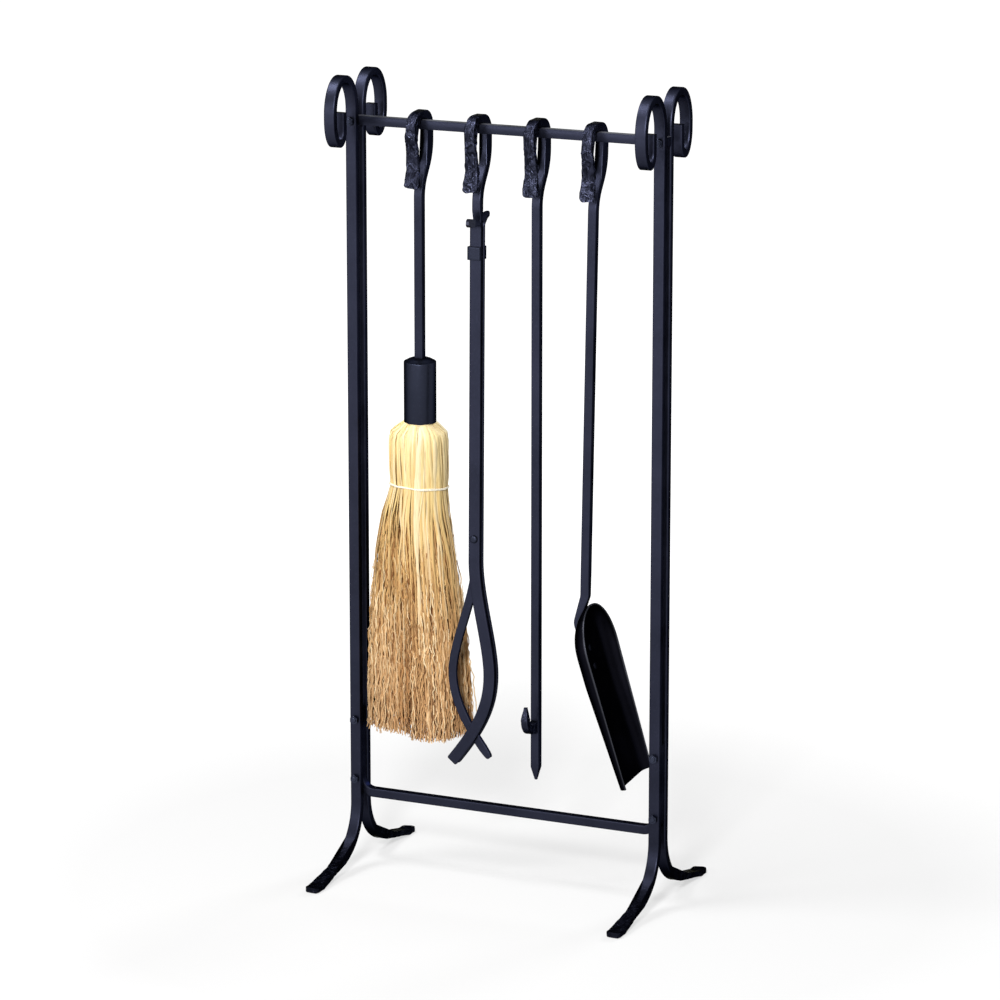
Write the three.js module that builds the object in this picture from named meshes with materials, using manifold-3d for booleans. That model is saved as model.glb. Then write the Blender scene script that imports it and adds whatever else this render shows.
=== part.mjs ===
// Fireplace tool set: a forged iron stand and the four tools that hang from its top rail.
//
// Each post of the stand is a pair of flat bars, one in front of the other. Both rails are
// clamped between the bars by through bolts. The bars curl outwards into scrolls at the top
// and splay into feet at the bottom. The tools are a broom, tongs, a poker and a shovel,
// and each one ends in a hook that passes over the rail.
//
// Units are millimetres. +X runs along the rails, -Y is the front and +Z is up. The origin is
// on the floor, midway between the posts. A tool is built in its own frame, with its origin at
// the centre of the rail it hangs on and its shaft along -Z.
import * as THREE from 'three';
import { mergeVertices } from 'three/addons/utils/BufferGeometryUtils.js';
import Module from 'manifold-3d';

const wasm = await Module();
wasm.setup();

// ---- Driving dimensions: the stand -------------------------------------------------------

const STAND_HEIGHT = 850; // floor to the top of the scrolls
const POST_SPACING = 343; // centre to centre
const POST_BAR_WIDTH = 11.5; // along the rails
const POST_BAR_THICK = 8;
const RAIL_STOCK = 9.5; // square bar of both rails
const TOP_RAIL_DROP = 50.2; // top of the scrolls to the rail's centre
const TOP_RAIL_Z = STAND_HEIGHT - TOP_RAIL_DROP;
const BOTTOM_RAIL_Z = 79.8;
const BOTTOM_RAIL_BEND = 16; // centreline radius of its upturned ends
const BOTTOM_RAIL_RISE = 93; // from its centreline to the top of an upturned end
const LOWER_BOLT_Z = 96;
const UPPER_BOLT_Z = 161;

const FOOT_REACH = 119; // centre plane to the toe
const TOE_FLAT = 15; // length of the sole that lies on the floor
const TOE_WIDTH = 16;
const TOE_THICK = 6;
const TOE_FLARE = 38; // length over which the bar widens into the toe
const TOE_EASE = 3; // length of the narrowed tip
const INSTEP_BEND = 30;
const ANKLE_Z = 24; // where the sloping foot meets the line of the post
const ANKLE_BEND = 58;

const SCROLL_REACH = 62; // centre plane to the scroll's outer face
const SCROLL_ARCH = 34; // height of the arch's centreline
const SCROLL_DROP = 6; // straight stretch under the arch
const SCROLL_BELLY_OUTER = [13.5, 25]; // reach and height of the belly's outer quarter
const SCROLL_BELLY_INNER = [8.5, 12]; // and of its inner quarter
const SCROLL_TAIL = 19; // straight end of the scroll

const BOLT_DIAMETER = 5;
const BOLT_HEAD_DIAMETER = 9;
const BOLT_HEAD_HEIGHT = 3;
const BOLT_PROUD = 1.5; // thread beyond the nut
const NUT_ACROSS_FLATS = 8;
const NUT_THICK = 4;

// ---- Driving dimensions: the tools -------------------------------------------------------

const TOOL_STOCK = 9; // square bar of every tool
const BROOM_X = -99.4; // where each tool hangs on the rail
const TONGS_X = -33;
const POKER_X = 33;
const SHOVEL_X = 96.6;
const BROOM_HANG = { back: 2, right: -1 }; // degrees that the foot of the tool swings
const TONGS_HANG = { back: -1.6, right: 0.38 };
const POKER_HANG = { back: 0, right: 0 };
const SHOVEL_HANG = { back: 0, right: -0.97 };

const HOOK_TAIL_FORWARD = 18.5; // shaft axis to the tail's centreline
const HOOK_BOW_BACK = 20.5; // shaft axis to the bow's centreline
const HOOK_FRONT_BEND = 13;
const HOOK_BACK_BEND = 15;
const HOOK_SHOULDER_DROP = 14; // from the rail's centre to each of these points
const HOOK_WAIST_DROP = 40;
const HOOK_TIP_DROP = 65;
const HOOK_WAIST_FORWARD = 13.4;
const HOOK_TAIL_BEND = 34;
const HOOK_BOW_DROP = 32.8;
const HOOK_RETURN_DROP = 64.3;
const HOOK_BOW_BEND = 48;
const HOOK_RETURN_BEND = 45;
const TAIL_TIP = [11, 4]; // width and thickness along the hammered tail
const TAIL_END = [15.5, 5];
const TAIL_WAIST = [14, 5.2];
const TAIL_SHOULDER = [12, 7];
const TAIL_TIP_LENGTH = 3;

const FERRULE_TOP = 245.7; // from the rail's centre
const SHAFT_IN_FERRULE = 12.7;
const BROOM_SHAFT_END = FERRULE_TOP + SHAFT_IN_FERRULE;
const FERRULE_LENGTH = 68.1;
const FERRULE_DIAMETER = 34;
const FERRULE_WALL = 1.5;
const FERRULE_SHOULDER = 4; // radius of its rounded top
const STRAW_NECK_LENGTH = 48; // of the straw that is packed into the ferrule
const STRAW_LENGTH = 342; // of the straw below the ferrule
// How far below the ferrule, half width and half depth of the bound straw.
const STRAW_SECTIONS = [
  [4, 22, 21],
  [11, 29.5, 25],
  [20, 31.5, 26],
  [62, 31.5, 26],
  [69, 30.5, 25],
  [76, 31.5, 25.5],
  [139, 44, 25],
  [193, 51, 24],
  [246, 54.5, 23],
  [302, 56.5, 22],
  [336, 56.5, 21.5],
];
const STRAW_HEM = [53, 19]; // half width and half depth of its cut end
const TWINE_DROP = 69; // from the ferrule to the binding
const TWINE_DIAMETER = 2.6;

const PIVOT_DROP = 426.5; // from the rail's centre to the tongs' rivet
const TONGS_CORE = [9, 4.6]; // width and thickness of the forged middle bar
const TONGS_CORE_TOP = 93; // from the rail's centre to the forged part
const TONGS_CORE_TAPER = 9;
const ARM_WIDTH = 12.5;
const ARM_THICK = 3.2;
const ARM_TOP_DROP = 97; // from the rail's centre to the horns' corner
const HORN_REACH = 21; // shaft axis to the end of a horn
const HORN_RISE = [6, 10]; // of the front and rear horns
const HORN_BEND = 5;
const HORN_TIP_WIDTH = 8;
const JAW_TOP_DROP = 449.8; // where the jaws begin to bow
const JAW_BELLY_DROP = 571.8; // where they stand widest
const ARM_BOW = 17.7; // of the arms, to the right
const CORE_BOW = 25.9; // of the middle bar, to the left
const ARM_TIP = [-25, 666.8]; // sideways and down from the rail's centre
const CORE_TIP = [17, 659.8];
const ARM_TIP_PULL = [28, 35]; // lengths that shape the bow towards its tip
const CORE_TIP_PULL = [20, 24.7];
const JAW_PULL = [40, 34]; // lengths that shape the bow's upper and lower halves
const CORE_TIP_WIDTH = 5;
const CORE_TIP_TAPER = 12;
const CLIP_DROP = 128; // from the rail's centre to the clip's middle
const CLIP_HEIGHT = 13.7;
const CLIP_THICK = 2.2;
const RIVET_DIAMETER = 5;
const RIVET_HEAD_DIAMETER = 8.4;
const RIVET_HEAD_HEIGHT = 2.2;

const POKER_LENGTH = 682; // from the rail's centre to the point
const POINT_LENGTH = 14;
const POINT_SIZE = 2.6;
const BARB_DROP = 624; // from the rail's centre to the barb's root
const BARB_REACH = 22; // from the shaft's front face to the barb's upright centreline
const BARB_RISE = 27; // from the root's centreline to the barb's point
const BARB_BEND = 13;
const BARB_ROOT = [8, 14]; // width and thickness
const BARB_MIDDLE = [8, 9];
const BARB_POINT = [4, 3.5];

const NECK_DROP = 478; // from the rail's centre to the end of the straight shaft
const NECK_BEND = 12;
const PAN_TOP = [5.7, 486.4]; // right of the shaft and below the rail, to the rim's top
const PAN_LEAN = 17.4; // degrees from the shaft
const PAN_TURN = 5; // degrees about the shaft
const PAN_LENGTH = 189.5;
const PAN_HALF_WIDTH = [50, 44]; // at the shoulders and at the lip
const PAN_DEPTH = [16, 10]; // behind the shoulders and at the lip
const PAN_WALL = 1.6;
const PAN_CORNER = 15; // width of the rounded corner of its section
const PAN_ROUND_END = 50; // length of the rim's rounded end
const PAN_ROUND_BACK = 40; // length over which the back deepens
const PAN_FLAT_END = 78; // from the rim's top to where the back begins to shallow
const TONGUE_THICK = 5;
const TONGUE_WIDTH = 14;
const TONGUE_TOP = 15; // along the pan, to the knee of the neck
const TONGUE_END = 75; // along the pan
const TONGUE_RIVETS = [44, 64]; // along the pan

// ---- Fits and facets ---------------------------------------------------------------------

const SEAT_GAP = 0.3; // between pieces that rest on each other
const HOLE_CLEARANCE = 0.3; // on the radius of every bolt and rivet hole
const EASED_EDGE = 0.1; // corner chamfer, as a share of the bar
const ARC_STEP = Math.PI / 15;
const BOW_STEPS = 9;
const ROUND_SIDES = 20;

// ---- Colours -----------------------------------------------------------------------------

const blackIron = () => new THREE.MeshStandardMaterial({ color: 0x2b2e36, roughness: 0.55, metalness: 0.6 });
const blackSteel = () => new THREE.MeshStandardMaterial({ color: 0x15161a, roughness: 0.5, metalness: 0.6 });
const broomStraw = () => new THREE.MeshStandardMaterial({ color: 0xd9b878, roughness: 0.9, metalness: 0 });
const paleTwine = () => new THREE.MeshStandardMaterial({ color: 0xefe2b8, roughness: 0.85, metalness: 0 });

// ---- Curves ------------------------------------------------------------------------------

const X = new THREE.Vector3(1, 0, 0);
const at = (x, y, z) => new THREE.Vector3(x, y, z);
const inYZ = (y, z) => at(0, y, z);
const line = (from, to) => new THREE.LineCurve3(from, to);

// Part of an ellipse in space: centre + a cos(t) + b sin(t), for t from 0 to sweep.
class Arc extends THREE.Curve {
  constructor(centre, a, b, sweep) {
    super();
    Object.assign(this, { centre, a, b, sweep });
    this.divisions = 2 * Math.ceil(sweep / (2 * ARC_STEP));
  }

  getPoint(t) {
    const turn = t * this.sweep;
    return this.centre.clone()
      .addScaledVector(this.a, Math.cos(turn))
      .addScaledVector(this.b, Math.sin(turn));
  }

  getTangent(t) {
    const turn = t * this.sweep;
    return this.b.clone()
      .multiplyScalar(Math.cos(turn))
      .addScaledVector(this.a, -Math.sin(turn))
      .normalize();
  }
}

// Straight stretches between corners, each corner rounded by its bend radius.
function roundedPath(corners) {
  const curves = [];
  let from = corners[0].at;
  for (let i = 1; i < corners.length - 1; i++) {
    const { at: corner, bend } = corners[i];
    const back = from.clone().sub(corner).normalize();
    const onward = corners[i + 1].at.clone().sub(corner).normalize();
    const angle = back.angleTo(onward);
    const setback = bend / Math.tan(angle / 2);
    const start = corner.clone().addScaledVector(back, setback);
    const bisector = back.clone().add(onward).normalize();
    const centre = corner.clone().addScaledVector(bisector, bend / Math.sin(angle / 2));
    const arc = new Arc(centre, start.clone().sub(centre), back.multiplyScalar(-bend), Math.PI - angle);
    curves.push(line(from, start), arc);
    from = arc.getPoint(1);
  }
  curves.push(line(from, corners.at(-1).at));
  return curves;
}

const lengthOf = (curves) => curves.reduce((sum, curve) => sum + curve.getLength(), 0);

// ---- Solids ------------------------------------------------------------------------------

function welded(geometry) {
  geometry.deleteAttribute('normal');
  geometry.deleteAttribute('uv');
  const merged = mergeVertices(geometry, 1e-4);
  merged.computeVertexNormals();
  return merged;
}

function toManifold(geometry) {
  const merged = welded(geometry);
  return new wasm.Manifold(new wasm.Mesh({
    numProp: 3,
    vertProperties: Float32Array.from(merged.attributes.position.array),
    triVerts: Uint32Array.from(merged.index.array),
  }));
}

function fromManifold(manifold) {
  const mesh = manifold.getMesh();
  const geometry = new THREE.BufferGeometry();
  geometry.setAttribute('position', new THREE.BufferAttribute(mesh.vertProperties, 3));
  geometry.setIndex(new THREE.BufferAttribute(mesh.triVerts, 1));
  geometry.computeVertexNormals();
  return geometry;
}

function cut(geometry, cutters) {
  const whole = toManifold(geometry);
  return fromManifold(cutters.reduce((body, cutter) => body.subtract(toManifold(cutter)), whole));
}

// Places where a bar's section is set: the ends of every curve, the steps of every bend,
// and each distance in marks that falls on a straight stretch.
function stationsAlong(curves, marks) {
  const stations = [];
  let travelled = 0;
  for (const curve of curves) {
    const length = curve.getLength();
    const fractions = curve.isLineCurve3
      ? [...marks.map((mark) => (mark - travelled) / length).filter((t) => t > 0.01 && t < 0.99), 1]
      : Array.from({ length: curve.divisions ?? BOW_STEPS }, (_, i) => (i + 1) / (curve.divisions ?? BOW_STEPS));
    if (stations.length === 0) fractions.unshift(0);
    for (const t of fractions) {
      stations.push({
        point: curve.getPoint(t),
        tangent: curve.getTangent(t),
        distance: travelled + t * length,
      });
    }
    travelled += length;
  }
  return stations;
}

// The section at a distance along a bar, from rows of [distance, width, thickness, twist].
function sectionAt(rows, distance) {
  const next = rows.findIndex((row) => row[0] >= distance);
  if (next === -1) return rows.at(-1).slice(1);
  if (next === 0) return rows[0].slice(1);
  const [before, after] = [rows[next - 1], rows[next]];
  const share = (distance - before[0]) / (after[0] - before[0]);
  return before.slice(1).map((value, i) => THREE.MathUtils.lerp(value, after[i + 1], share));
}

const EASED_SQUARE = new THREE.Shape([
  [EASED_EDGE - 0.5, -0.5], [0.5 - EASED_EDGE, -0.5], [0.5, EASED_EDGE - 0.5], [0.5, 0.5 - EASED_EDGE],
  [0.5 - EASED_EDGE, 0.5], [EASED_EDGE - 0.5, 0.5], [-0.5, 0.5 - EASED_EDGE], [-0.5, EASED_EDGE - 0.5],
].map(([x, y]) => new THREE.Vector2(x, y)));

// A bar with eased edges, bent along the curves. Its width starts along `side`, and the
// section stays square to the path without turning, apart from the twist in its rows.
function forgedBar(curves, rows, side = X) {
  const stations = stationsAlong(curves, rows.map((row) => row[0]));
  const widthAxis = side.clone();
  for (const station of stations) {
    widthAxis.addScaledVector(station.tangent, -widthAxis.dot(station.tangent)).normalize();
    const [width, thick, twist = 0] = sectionAt(rows, station.distance);
    const turned = widthAxis.clone().applyAxisAngle(station.tangent, twist);
    station.across = turned.clone().multiplyScalar(width);
    station.through = station.tangent.clone().cross(turned).multiplyScalar(thick);
  }
  const steps = stations.length - 1;
  const geometry = new THREE.ExtrudeGeometry(EASED_SQUARE, { depth: 1, steps, bevelEnabled: false });
  const { position } = geometry.attributes;
  for (let i = 0; i < position.count; i++) {
    const station = stations[Math.round(position.getZ(i) * steps)];
    const vertex = station.point.clone()
      .addScaledVector(station.across, position.getX(i))
      .addScaledVector(station.through, position.getY(i));
    position.setXYZ(i, vertex.x, vertex.y, vertex.z);
  }
  return welded(geometry);
}

// A round solid about the Y axis, from [radius, y] points that start and end on the axis.
function turned(points, sides = ROUND_SIDES) {
  return welded(new THREE.LatheGeometry(points.map(([r, y]) => new THREE.Vector2(r, y)), sides));
}

const rodAlongY = (diameter, length) => new THREE.CylinderGeometry(diameter / 2, diameter / 2, length, ROUND_SIDES);

const domePoints = (diameter, height, from) => [30, 60].map((degrees) => {
  const turn = THREE.MathUtils.degToRad(degrees);
  return [(diameter / 2) * Math.cos(turn), from + height * Math.sin(turn)];
});

function piece(name, geometry, material) {
  const mesh = new THREE.Mesh(geometry, material);
  mesh.name = name;
  return mesh;
}

// ---- Stand -------------------------------------------------------------------------------

const barY = (RAIL_STOCK + POST_BAR_THICK) / 2; // centreline of the rear bar of a post
const postDepth = RAIL_STOCK + 2 * POST_BAR_THICK;
const boltHeights = { lower: LOWER_BOLT_Z, upper: UPPER_BOLT_Z, rail: TOP_RAIL_Z };

const boltHole = (x, z) => {
  const diameter = BOLT_DIAMETER + 2 * HOLE_CLEARANCE;
  return rodAlongY(diameter, 2 * postDepth).translate(x, 0, z);
};

function uprightGeometry() {
  const toeZ = TOE_THICK / 2;
  const outY = SCROLL_REACH - POST_BAR_THICK / 2;
  const springZ = STAND_HEIGHT - POST_BAR_THICK / 2 - SCROLL_ARCH;
  const dropZ = springZ - SCROLL_DROP;
  const [outerReach, outerHeight] = SCROLL_BELLY_OUTER;
  const [innerReach, innerHeight] = SCROLL_BELLY_INNER;
  const bellyY = outY - outerReach;
  const bellyZ = dropZ - outerHeight;
  const tailY = bellyY - innerReach;
  const tailZ = bellyZ + innerHeight;
  const halfArch = (outY - barY) / 2;
  const curves = [
    ...roundedPath([
      { at: inYZ(FOOT_REACH, toeZ) },
      { at: inYZ(FOOT_REACH - TOE_FLAT, toeZ), bend: INSTEP_BEND },
      { at: inYZ(barY, ANKLE_Z), bend: ANKLE_BEND },
      { at: inYZ(barY, springZ) },
    ]),
    new Arc(inYZ(barY + halfArch, springZ), inYZ(-halfArch, 0), inYZ(0, SCROLL_ARCH), Math.PI),
    line(inYZ(outY, springZ), inYZ(outY, dropZ)),
    new Arc(inYZ(bellyY, dropZ), inYZ(outerReach, 0), inYZ(0, -outerHeight), Math.PI / 2),
    new Arc(inYZ(bellyY, tailZ), inYZ(0, -innerHeight), inYZ(-innerReach, 0), Math.PI / 2),
    line(inYZ(tailY, tailZ), inYZ(tailY, tailZ + SCROLL_TAIL)),
  ];
  const bar = forgedBar(curves, [
    [0, TOE_WIDTH - TOE_EASE, TOE_THICK],
    [TOE_EASE, TOE_WIDTH, TOE_THICK],
    [TOE_FLAT, TOE_WIDTH, TOE_THICK],
    [TOE_FLAT + TOE_FLARE, POST_BAR_WIDTH, POST_BAR_THICK],
  ]);
  return cut(bar, Object.values(boltHeights).map((z) => boltHole(0, z)));
}

function topRailGeometry() {
  const end = (POST_SPACING + POST_BAR_WIDTH) / 2;
  const curves = [line(at(-end, 0, TOP_RAIL_Z), at(end, 0, TOP_RAIL_Z))];
  const rail = forgedBar(curves, [[0, RAIL_STOCK, RAIL_STOCK]], at(0, 1, 0));
  return cut(rail, [-1, 1].map((side) => boltHole(side * POST_SPACING / 2, TOP_RAIL_Z)));
}

function bottomRailGeometry() {
  const legX = POST_SPACING / 2;
  const legTop = BOTTOM_RAIL_Z + BOTTOM_RAIL_RISE;
  const curves = roundedPath([
    { at: at(-legX, 0, legTop) },
    { at: at(-legX, 0, BOTTOM_RAIL_Z), bend: BOTTOM_RAIL_BEND },
    { at: at(legX, 0, BOTTOM_RAIL_Z), bend: BOTTOM_RAIL_BEND },
    { at: at(legX, 0, legTop) },
  ]);
  const rail = forgedBar(curves, [[0, RAIL_STOCK, RAIL_STOCK]]);
  const holes = [-legX, legX].flatMap((x) => [LOWER_BOLT_Z, UPPER_BOLT_Z].map((z) => boltHole(x, z)));
  return cut(rail, holes);
}

// Domed head at the origin, shank towards +Y.
function boltGeometry() {
  const radius = BOLT_DIAMETER / 2;
  const tip = postDepth + NUT_THICK + BOLT_PROUD;
  return turned([
    [0, -BOLT_HEAD_HEIGHT],
    ...domePoints(BOLT_HEAD_DIAMETER, -BOLT_HEAD_HEIGHT, 0).reverse(),
    [BOLT_HEAD_DIAMETER / 2, 0],
    [radius, 0],
    [radius, tip],
    [0, tip],
  ]);
}

function nutGeometry() {
  const corner = NUT_ACROSS_FLATS / Math.sqrt(3);
  const outline = new THREE.Shape(Array.from({ length: 6 }, (_, i) => {
    const turn = (i * Math.PI) / 3;
    return new THREE.Vector2(corner * Math.cos(turn), corner * Math.sin(turn));
  }));
  outline.holes.push(new THREE.Path().absarc(0, 0, BOLT_DIAMETER / 2 + HOLE_CLEARANCE, 0, 2 * Math.PI, true));
  const options = { depth: NUT_THICK, bevelEnabled: false, curveSegments: ROUND_SIDES / 2 };
  return welded(new THREE.ExtrudeGeometry(outline, options).rotateX(-Math.PI / 2));
}

function buildStand() {
  const stand = new THREE.Group();
  for (const [hand, x] of [['left', -POST_SPACING / 2], ['right', POST_SPACING / 2]]) {
    const post = new THREE.Group();
    post.position.x = x;
    const front = piece(`${hand}_front_upright`, uprightGeometry(), blackIron());
    front.rotation.z = Math.PI;
    post.add(front, piece(`${hand}_rear_upright`, uprightGeometry(), blackIron()));
    for (const [place, z] of Object.entries(boltHeights)) {
      const bolt = piece(`${hand}_${place}_bolt`, boltGeometry(), blackSteel());
      const nut = piece(`${hand}_${place}_nut`, nutGeometry(), blackSteel());
      bolt.position.set(0, postDepth / 2, z);
      nut.position.set(0, -postDepth / 2, z);
      for (const part of [bolt, nut]) part.rotation.z = Math.PI; // heads behind, nuts in front
      post.add(bolt, nut);
    }
    stand.add(post);
  }
  stand.add(piece('top_rail', topRailGeometry(), blackIron()));
  stand.add(piece('bottom_rail', bottomRailGeometry(), blackIron()));
  return stand;
}

// ---- Hooked handles ----------------------------------------------------------------------

// The hook of every tool, from the tip of its tail over the rail and back to the shaft line.
function hookCorners() {
  const seatZ = RAIL_STOCK / 2 + SEAT_GAP + TOOL_STOCK / 2;
  return [
    { at: inYZ(-HOOK_TAIL_FORWARD, -HOOK_TIP_DROP) },
    { at: inYZ(-HOOK_WAIST_FORWARD, -HOOK_WAIST_DROP), bend: HOOK_TAIL_BEND },
    { at: inYZ(-HOOK_TAIL_FORWARD, -HOOK_SHOULDER_DROP), bend: HOOK_TAIL_BEND },
    { at: inYZ(-HOOK_TAIL_FORWARD, seatZ), bend: HOOK_FRONT_BEND },
    { at: inYZ(HOOK_BOW_BACK, seatZ), bend: HOOK_BACK_BEND },
    { at: inYZ(HOOK_BOW_BACK, -HOOK_BOW_DROP), bend: HOOK_BOW_BEND },
    { at: inYZ(0, -HOOK_RETURN_DROP), bend: HOOK_RETURN_BEND },
  ];
}

// Sections of the hook, in step with its corners.
function hookRows() {
  const toWaist = HOOK_TIP_DROP - HOOK_WAIST_DROP;
  const toShoulder = HOOK_TIP_DROP - HOOK_SHOULDER_DROP;
  const overRail = HOOK_TIP_DROP + HOOK_TAIL_FORWARD;
  return [
    [0, ...TAIL_TIP],
    [TAIL_TIP_LENGTH, ...TAIL_END],
    [toWaist, ...TAIL_WAIST],
    [toShoulder, ...TAIL_SHOULDER],
    [overRail + HOOK_BOW_BACK, TOOL_STOCK, TOOL_STOCK],
  ];
}

// Distance along a handle to the point `drop` below the rail, given what its straight shaft ends at.
const distanceTo = (curves, end, drop) => lengthOf(curves) - (end - drop);

function hang(group, x, { back, right }) {
  group.position.set(x, 0, TOP_RAIL_Z);
  group.rotation.set(THREE.MathUtils.degToRad(back), THREE.MathUtils.degToRad(-right), 0);
  return group;
}

// ---- Broom -------------------------------------------------------------------------------

const ferruleBore = FERRULE_DIAMETER / 2 - FERRULE_WALL;
const ferruleBottom = FERRULE_TOP + FERRULE_LENGTH;
const strawBottom = ferruleBottom + STRAW_LENGTH;

function broomHandleGeometry() {
  const curves = roundedPath([...hookCorners(), { at: inYZ(0, -BROOM_SHAFT_END) }]);
  return forgedBar(curves, hookRows());
}

// A steel cup with a rounded top, which the shaft enters through a hole.
function ferruleGeometry() {
  const outer = FERRULE_DIAMETER / 2;
  const hole = Math.SQRT1_2 * TOOL_STOCK + SEAT_GAP;
  const rounded = (radius, edge, top) => [30, 60, 90].map((degrees) => {
    const turn = THREE.MathUtils.degToRad(degrees);
    return [edge - radius + radius * Math.cos(turn), top - radius + radius * Math.sin(turn)];
  });
  const inside = rounded(FERRULE_SHOULDER - FERRULE_WALL, ferruleBore, -FERRULE_TOP - FERRULE_WALL);
  const outline = [
    [outer, -ferruleBottom],
    [outer, -FERRULE_TOP - FERRULE_SHOULDER],
    ...rounded(FERRULE_SHOULDER, outer, -FERRULE_TOP),
    [hole, -FERRULE_TOP],
    [hole, -FERRULE_TOP - FERRULE_WALL],
    ...inside.reverse(),
    [ferruleBore, -FERRULE_TOP - FERRULE_SHOULDER],
    [ferruleBore, -ferruleBottom],
    [outer, -ferruleBottom],
  ];
  return turned(outline, 2 * ROUND_SIDES).rotateX(Math.PI / 2);
}

// The bound straw: a round neck inside the ferrule, then a flat bundle that spreads downwards.
function strawGeometry() {
  const neck = ferruleBore - SEAT_GAP;
  const neckTop = -ferruleBottom + STRAW_NECK_LENGTH;
  const below = (drop) => -ferruleBottom - drop;
  const rows = [
    [neckTop, 0, 0],
    [neckTop, neck, neck],
    [below(1), neck, neck],
    ...STRAW_SECTIONS.map(([drop, width, depth]) => [below(drop), width, depth]),
    [below(STRAW_LENGTH), ...STRAW_HEM],
    [below(STRAW_LENGTH), 0, 0],
  ];
  const geometry = new THREE.LatheGeometry(rows.map((_, i) => new THREE.Vector2(1, i)), 28);
  const { position } = geometry.attributes;
  for (let i = 0; i < position.count; i++) {
    const [z, width, depth] = rows[Math.round(position.getY(i))];
    position.setXYZ(i, position.getX(i) * width, position.getZ(i) * depth, z);
  }
  return welded(geometry);
}

function twineGeometry() {
  const row = STRAW_SECTIONS.find(([drop]) => drop >= TWINE_DROP);
  const [width, depth] = row.slice(1).map((half) => half + SEAT_GAP + TWINE_DIAMETER / 2);
  const ring = new THREE.TorusGeometry(width, TWINE_DIAMETER / 2, 8, 28);
  const { position } = ring.attributes;
  for (let i = 0; i < position.count; i++) {
    const turn = Math.atan2(position.getY(i), position.getX(i));
    const rise = Math.hypot(position.getX(i), position.getY(i)) - width;
    position.setY(i, (depth + rise) * Math.sin(turn));
  }
  return welded(ring.translate(0, 0, -ferruleBottom - TWINE_DROP));
}

function buildBroom() {
  const broom = new THREE.Group();
  broom.add(
    piece('broom_handle', broomHandleGeometry(), blackIron()),
    piece('broom_ferrule', ferruleGeometry(), blackSteel()),
    piece('broom_straw', strawGeometry(), broomStraw()),
    piece('broom_twine', twineGeometry(), paleTwine()),
  );
  return hang(broom, BROOM_X, BROOM_HANG);
}

// ---- Tongs -------------------------------------------------------------------------------

const armY = TONGS_CORE[1] / 2 + SEAT_GAP + ARM_THICK / 2;
const armFace = armY + ARM_THICK / 2;

// A jaw's bow: out to `bow` at its belly, then back across to its tip.
function jawCurves(y, bow, [tipX, tipDrop], [pullX, pullZ]) {
  const [upper, lower] = JAW_PULL;
  const reach = Math.sign(bow);
  return [
    new THREE.CubicBezierCurve3(
      at(0, y, -JAW_TOP_DROP),
      at(0, y, -JAW_TOP_DROP - upper),
      at(bow, y, -JAW_BELLY_DROP + lower),
      at(bow, y, -JAW_BELLY_DROP),
    ),
    new THREE.CubicBezierCurve3(
      at(bow, y, -JAW_BELLY_DROP),
      at(bow, y, -JAW_BELLY_DROP - lower),
      at(tipX + reach * pullX, y, -tipDrop + pullZ),
      at(tipX, y, -tipDrop),
    ),
  ];
}

const pivotHole = () => {
  const diameter = RIVET_DIAMETER + 2 * HOLE_CLEARANCE;
  return rodAlongY(diameter, 4 * armFace).translate(0, 0, -PIVOT_DROP);
};

// The hooked handle, forged flat where the arms straddle it, and its own jaw.
function tongsHandleGeometry() {
  const shaft = roundedPath([...hookCorners(), { at: inYZ(0, -JAW_TOP_DROP) }]);
  const curves = [...shaft, ...jawCurves(0, -CORE_BOW, CORE_TIP, CORE_TIP_PULL)];
  const forged = distanceTo(shaft, JAW_TOP_DROP, TONGS_CORE_TOP);
  const total = lengthOf(curves);
  const bar = forgedBar(curves, [
    ...hookRows(),
    [forged - TONGS_CORE_TAPER, TOOL_STOCK, TOOL_STOCK],
    [forged, ...TONGS_CORE],
    [total - CORE_TIP_TAPER, ...TONGS_CORE],
    [total, CORE_TIP_WIDTH, TONGS_CORE[1]],
  ]);
  return cut(bar, [pivotHole()]);
}

// One arm of the fork, from its horn down to its jaw tip. `front` is -1 or 1 along Y.
function tongsArmGeometry(front) {
  const y = front * armY;
  const rise = HORN_RISE[front < 0 ? 0 : 1];
  const curves = [
    ...roundedPath([
      { at: inYZ(front * HORN_REACH, rise - ARM_TOP_DROP) },
      { at: inYZ(y, -ARM_TOP_DROP), bend: HORN_BEND },
      { at: inYZ(y, -JAW_TOP_DROP) },
    ]),
    ...jawCurves(y, ARM_BOW, ARM_TIP, ARM_TIP_PULL),
  ];
  const bar = forgedBar(curves, [
    [0, HORN_TIP_WIDTH, ARM_THICK],
    [(ARM_WIDTH - HORN_TIP_WIDTH) / 2, ARM_WIDTH, ARM_THICK],
  ]);
  return cut(bar, [pivotHole()]);
}

// A strap around the arms, closed on the left and open on the right, where the handle leaves it.
function clipGeometry() {
  const right = ARM_WIDTH / 2;
  const inX = -right - SEAT_GAP;
  const inY = armFace + SEAT_GAP;
  const [outX, outY] = [inX - CLIP_THICK, inY + CLIP_THICK];
  const strap = new THREE.Shape([
    [right, -outY], [right, -inY], [inX, -inY], [inX, inY], [right, inY], [right, outY], [outX, outY], [outX, -outY],
  ].map(([x, y]) => new THREE.Vector2(x, y)));
  const geometry = new THREE.ExtrudeGeometry(strap, { depth: CLIP_HEIGHT, bevelEnabled: false });
  return welded(geometry.translate(0, 0, -CLIP_DROP - CLIP_HEIGHT / 2));
}

// A rivet about Y, with a dome beyond each of two faces that are `grip` apart.
function rivetGeometry(grip) {
  const half = grip / 2 + SEAT_GAP;
  const head = (way) => domePoints(RIVET_HEAD_DIAMETER, way * RIVET_HEAD_HEIGHT, way * half);
  const rim = RIVET_HEAD_DIAMETER / 2;
  const shank = RIVET_DIAMETER / 2;
  return turned([
    [0, -half - RIVET_HEAD_HEIGHT],
    ...head(-1).reverse(),
    [rim, -half],
    [shank, -half],
    [shank, half],
    [rim, half],
    ...head(1),
    [0, half + RIVET_HEAD_HEIGHT],
  ]);
}

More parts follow.
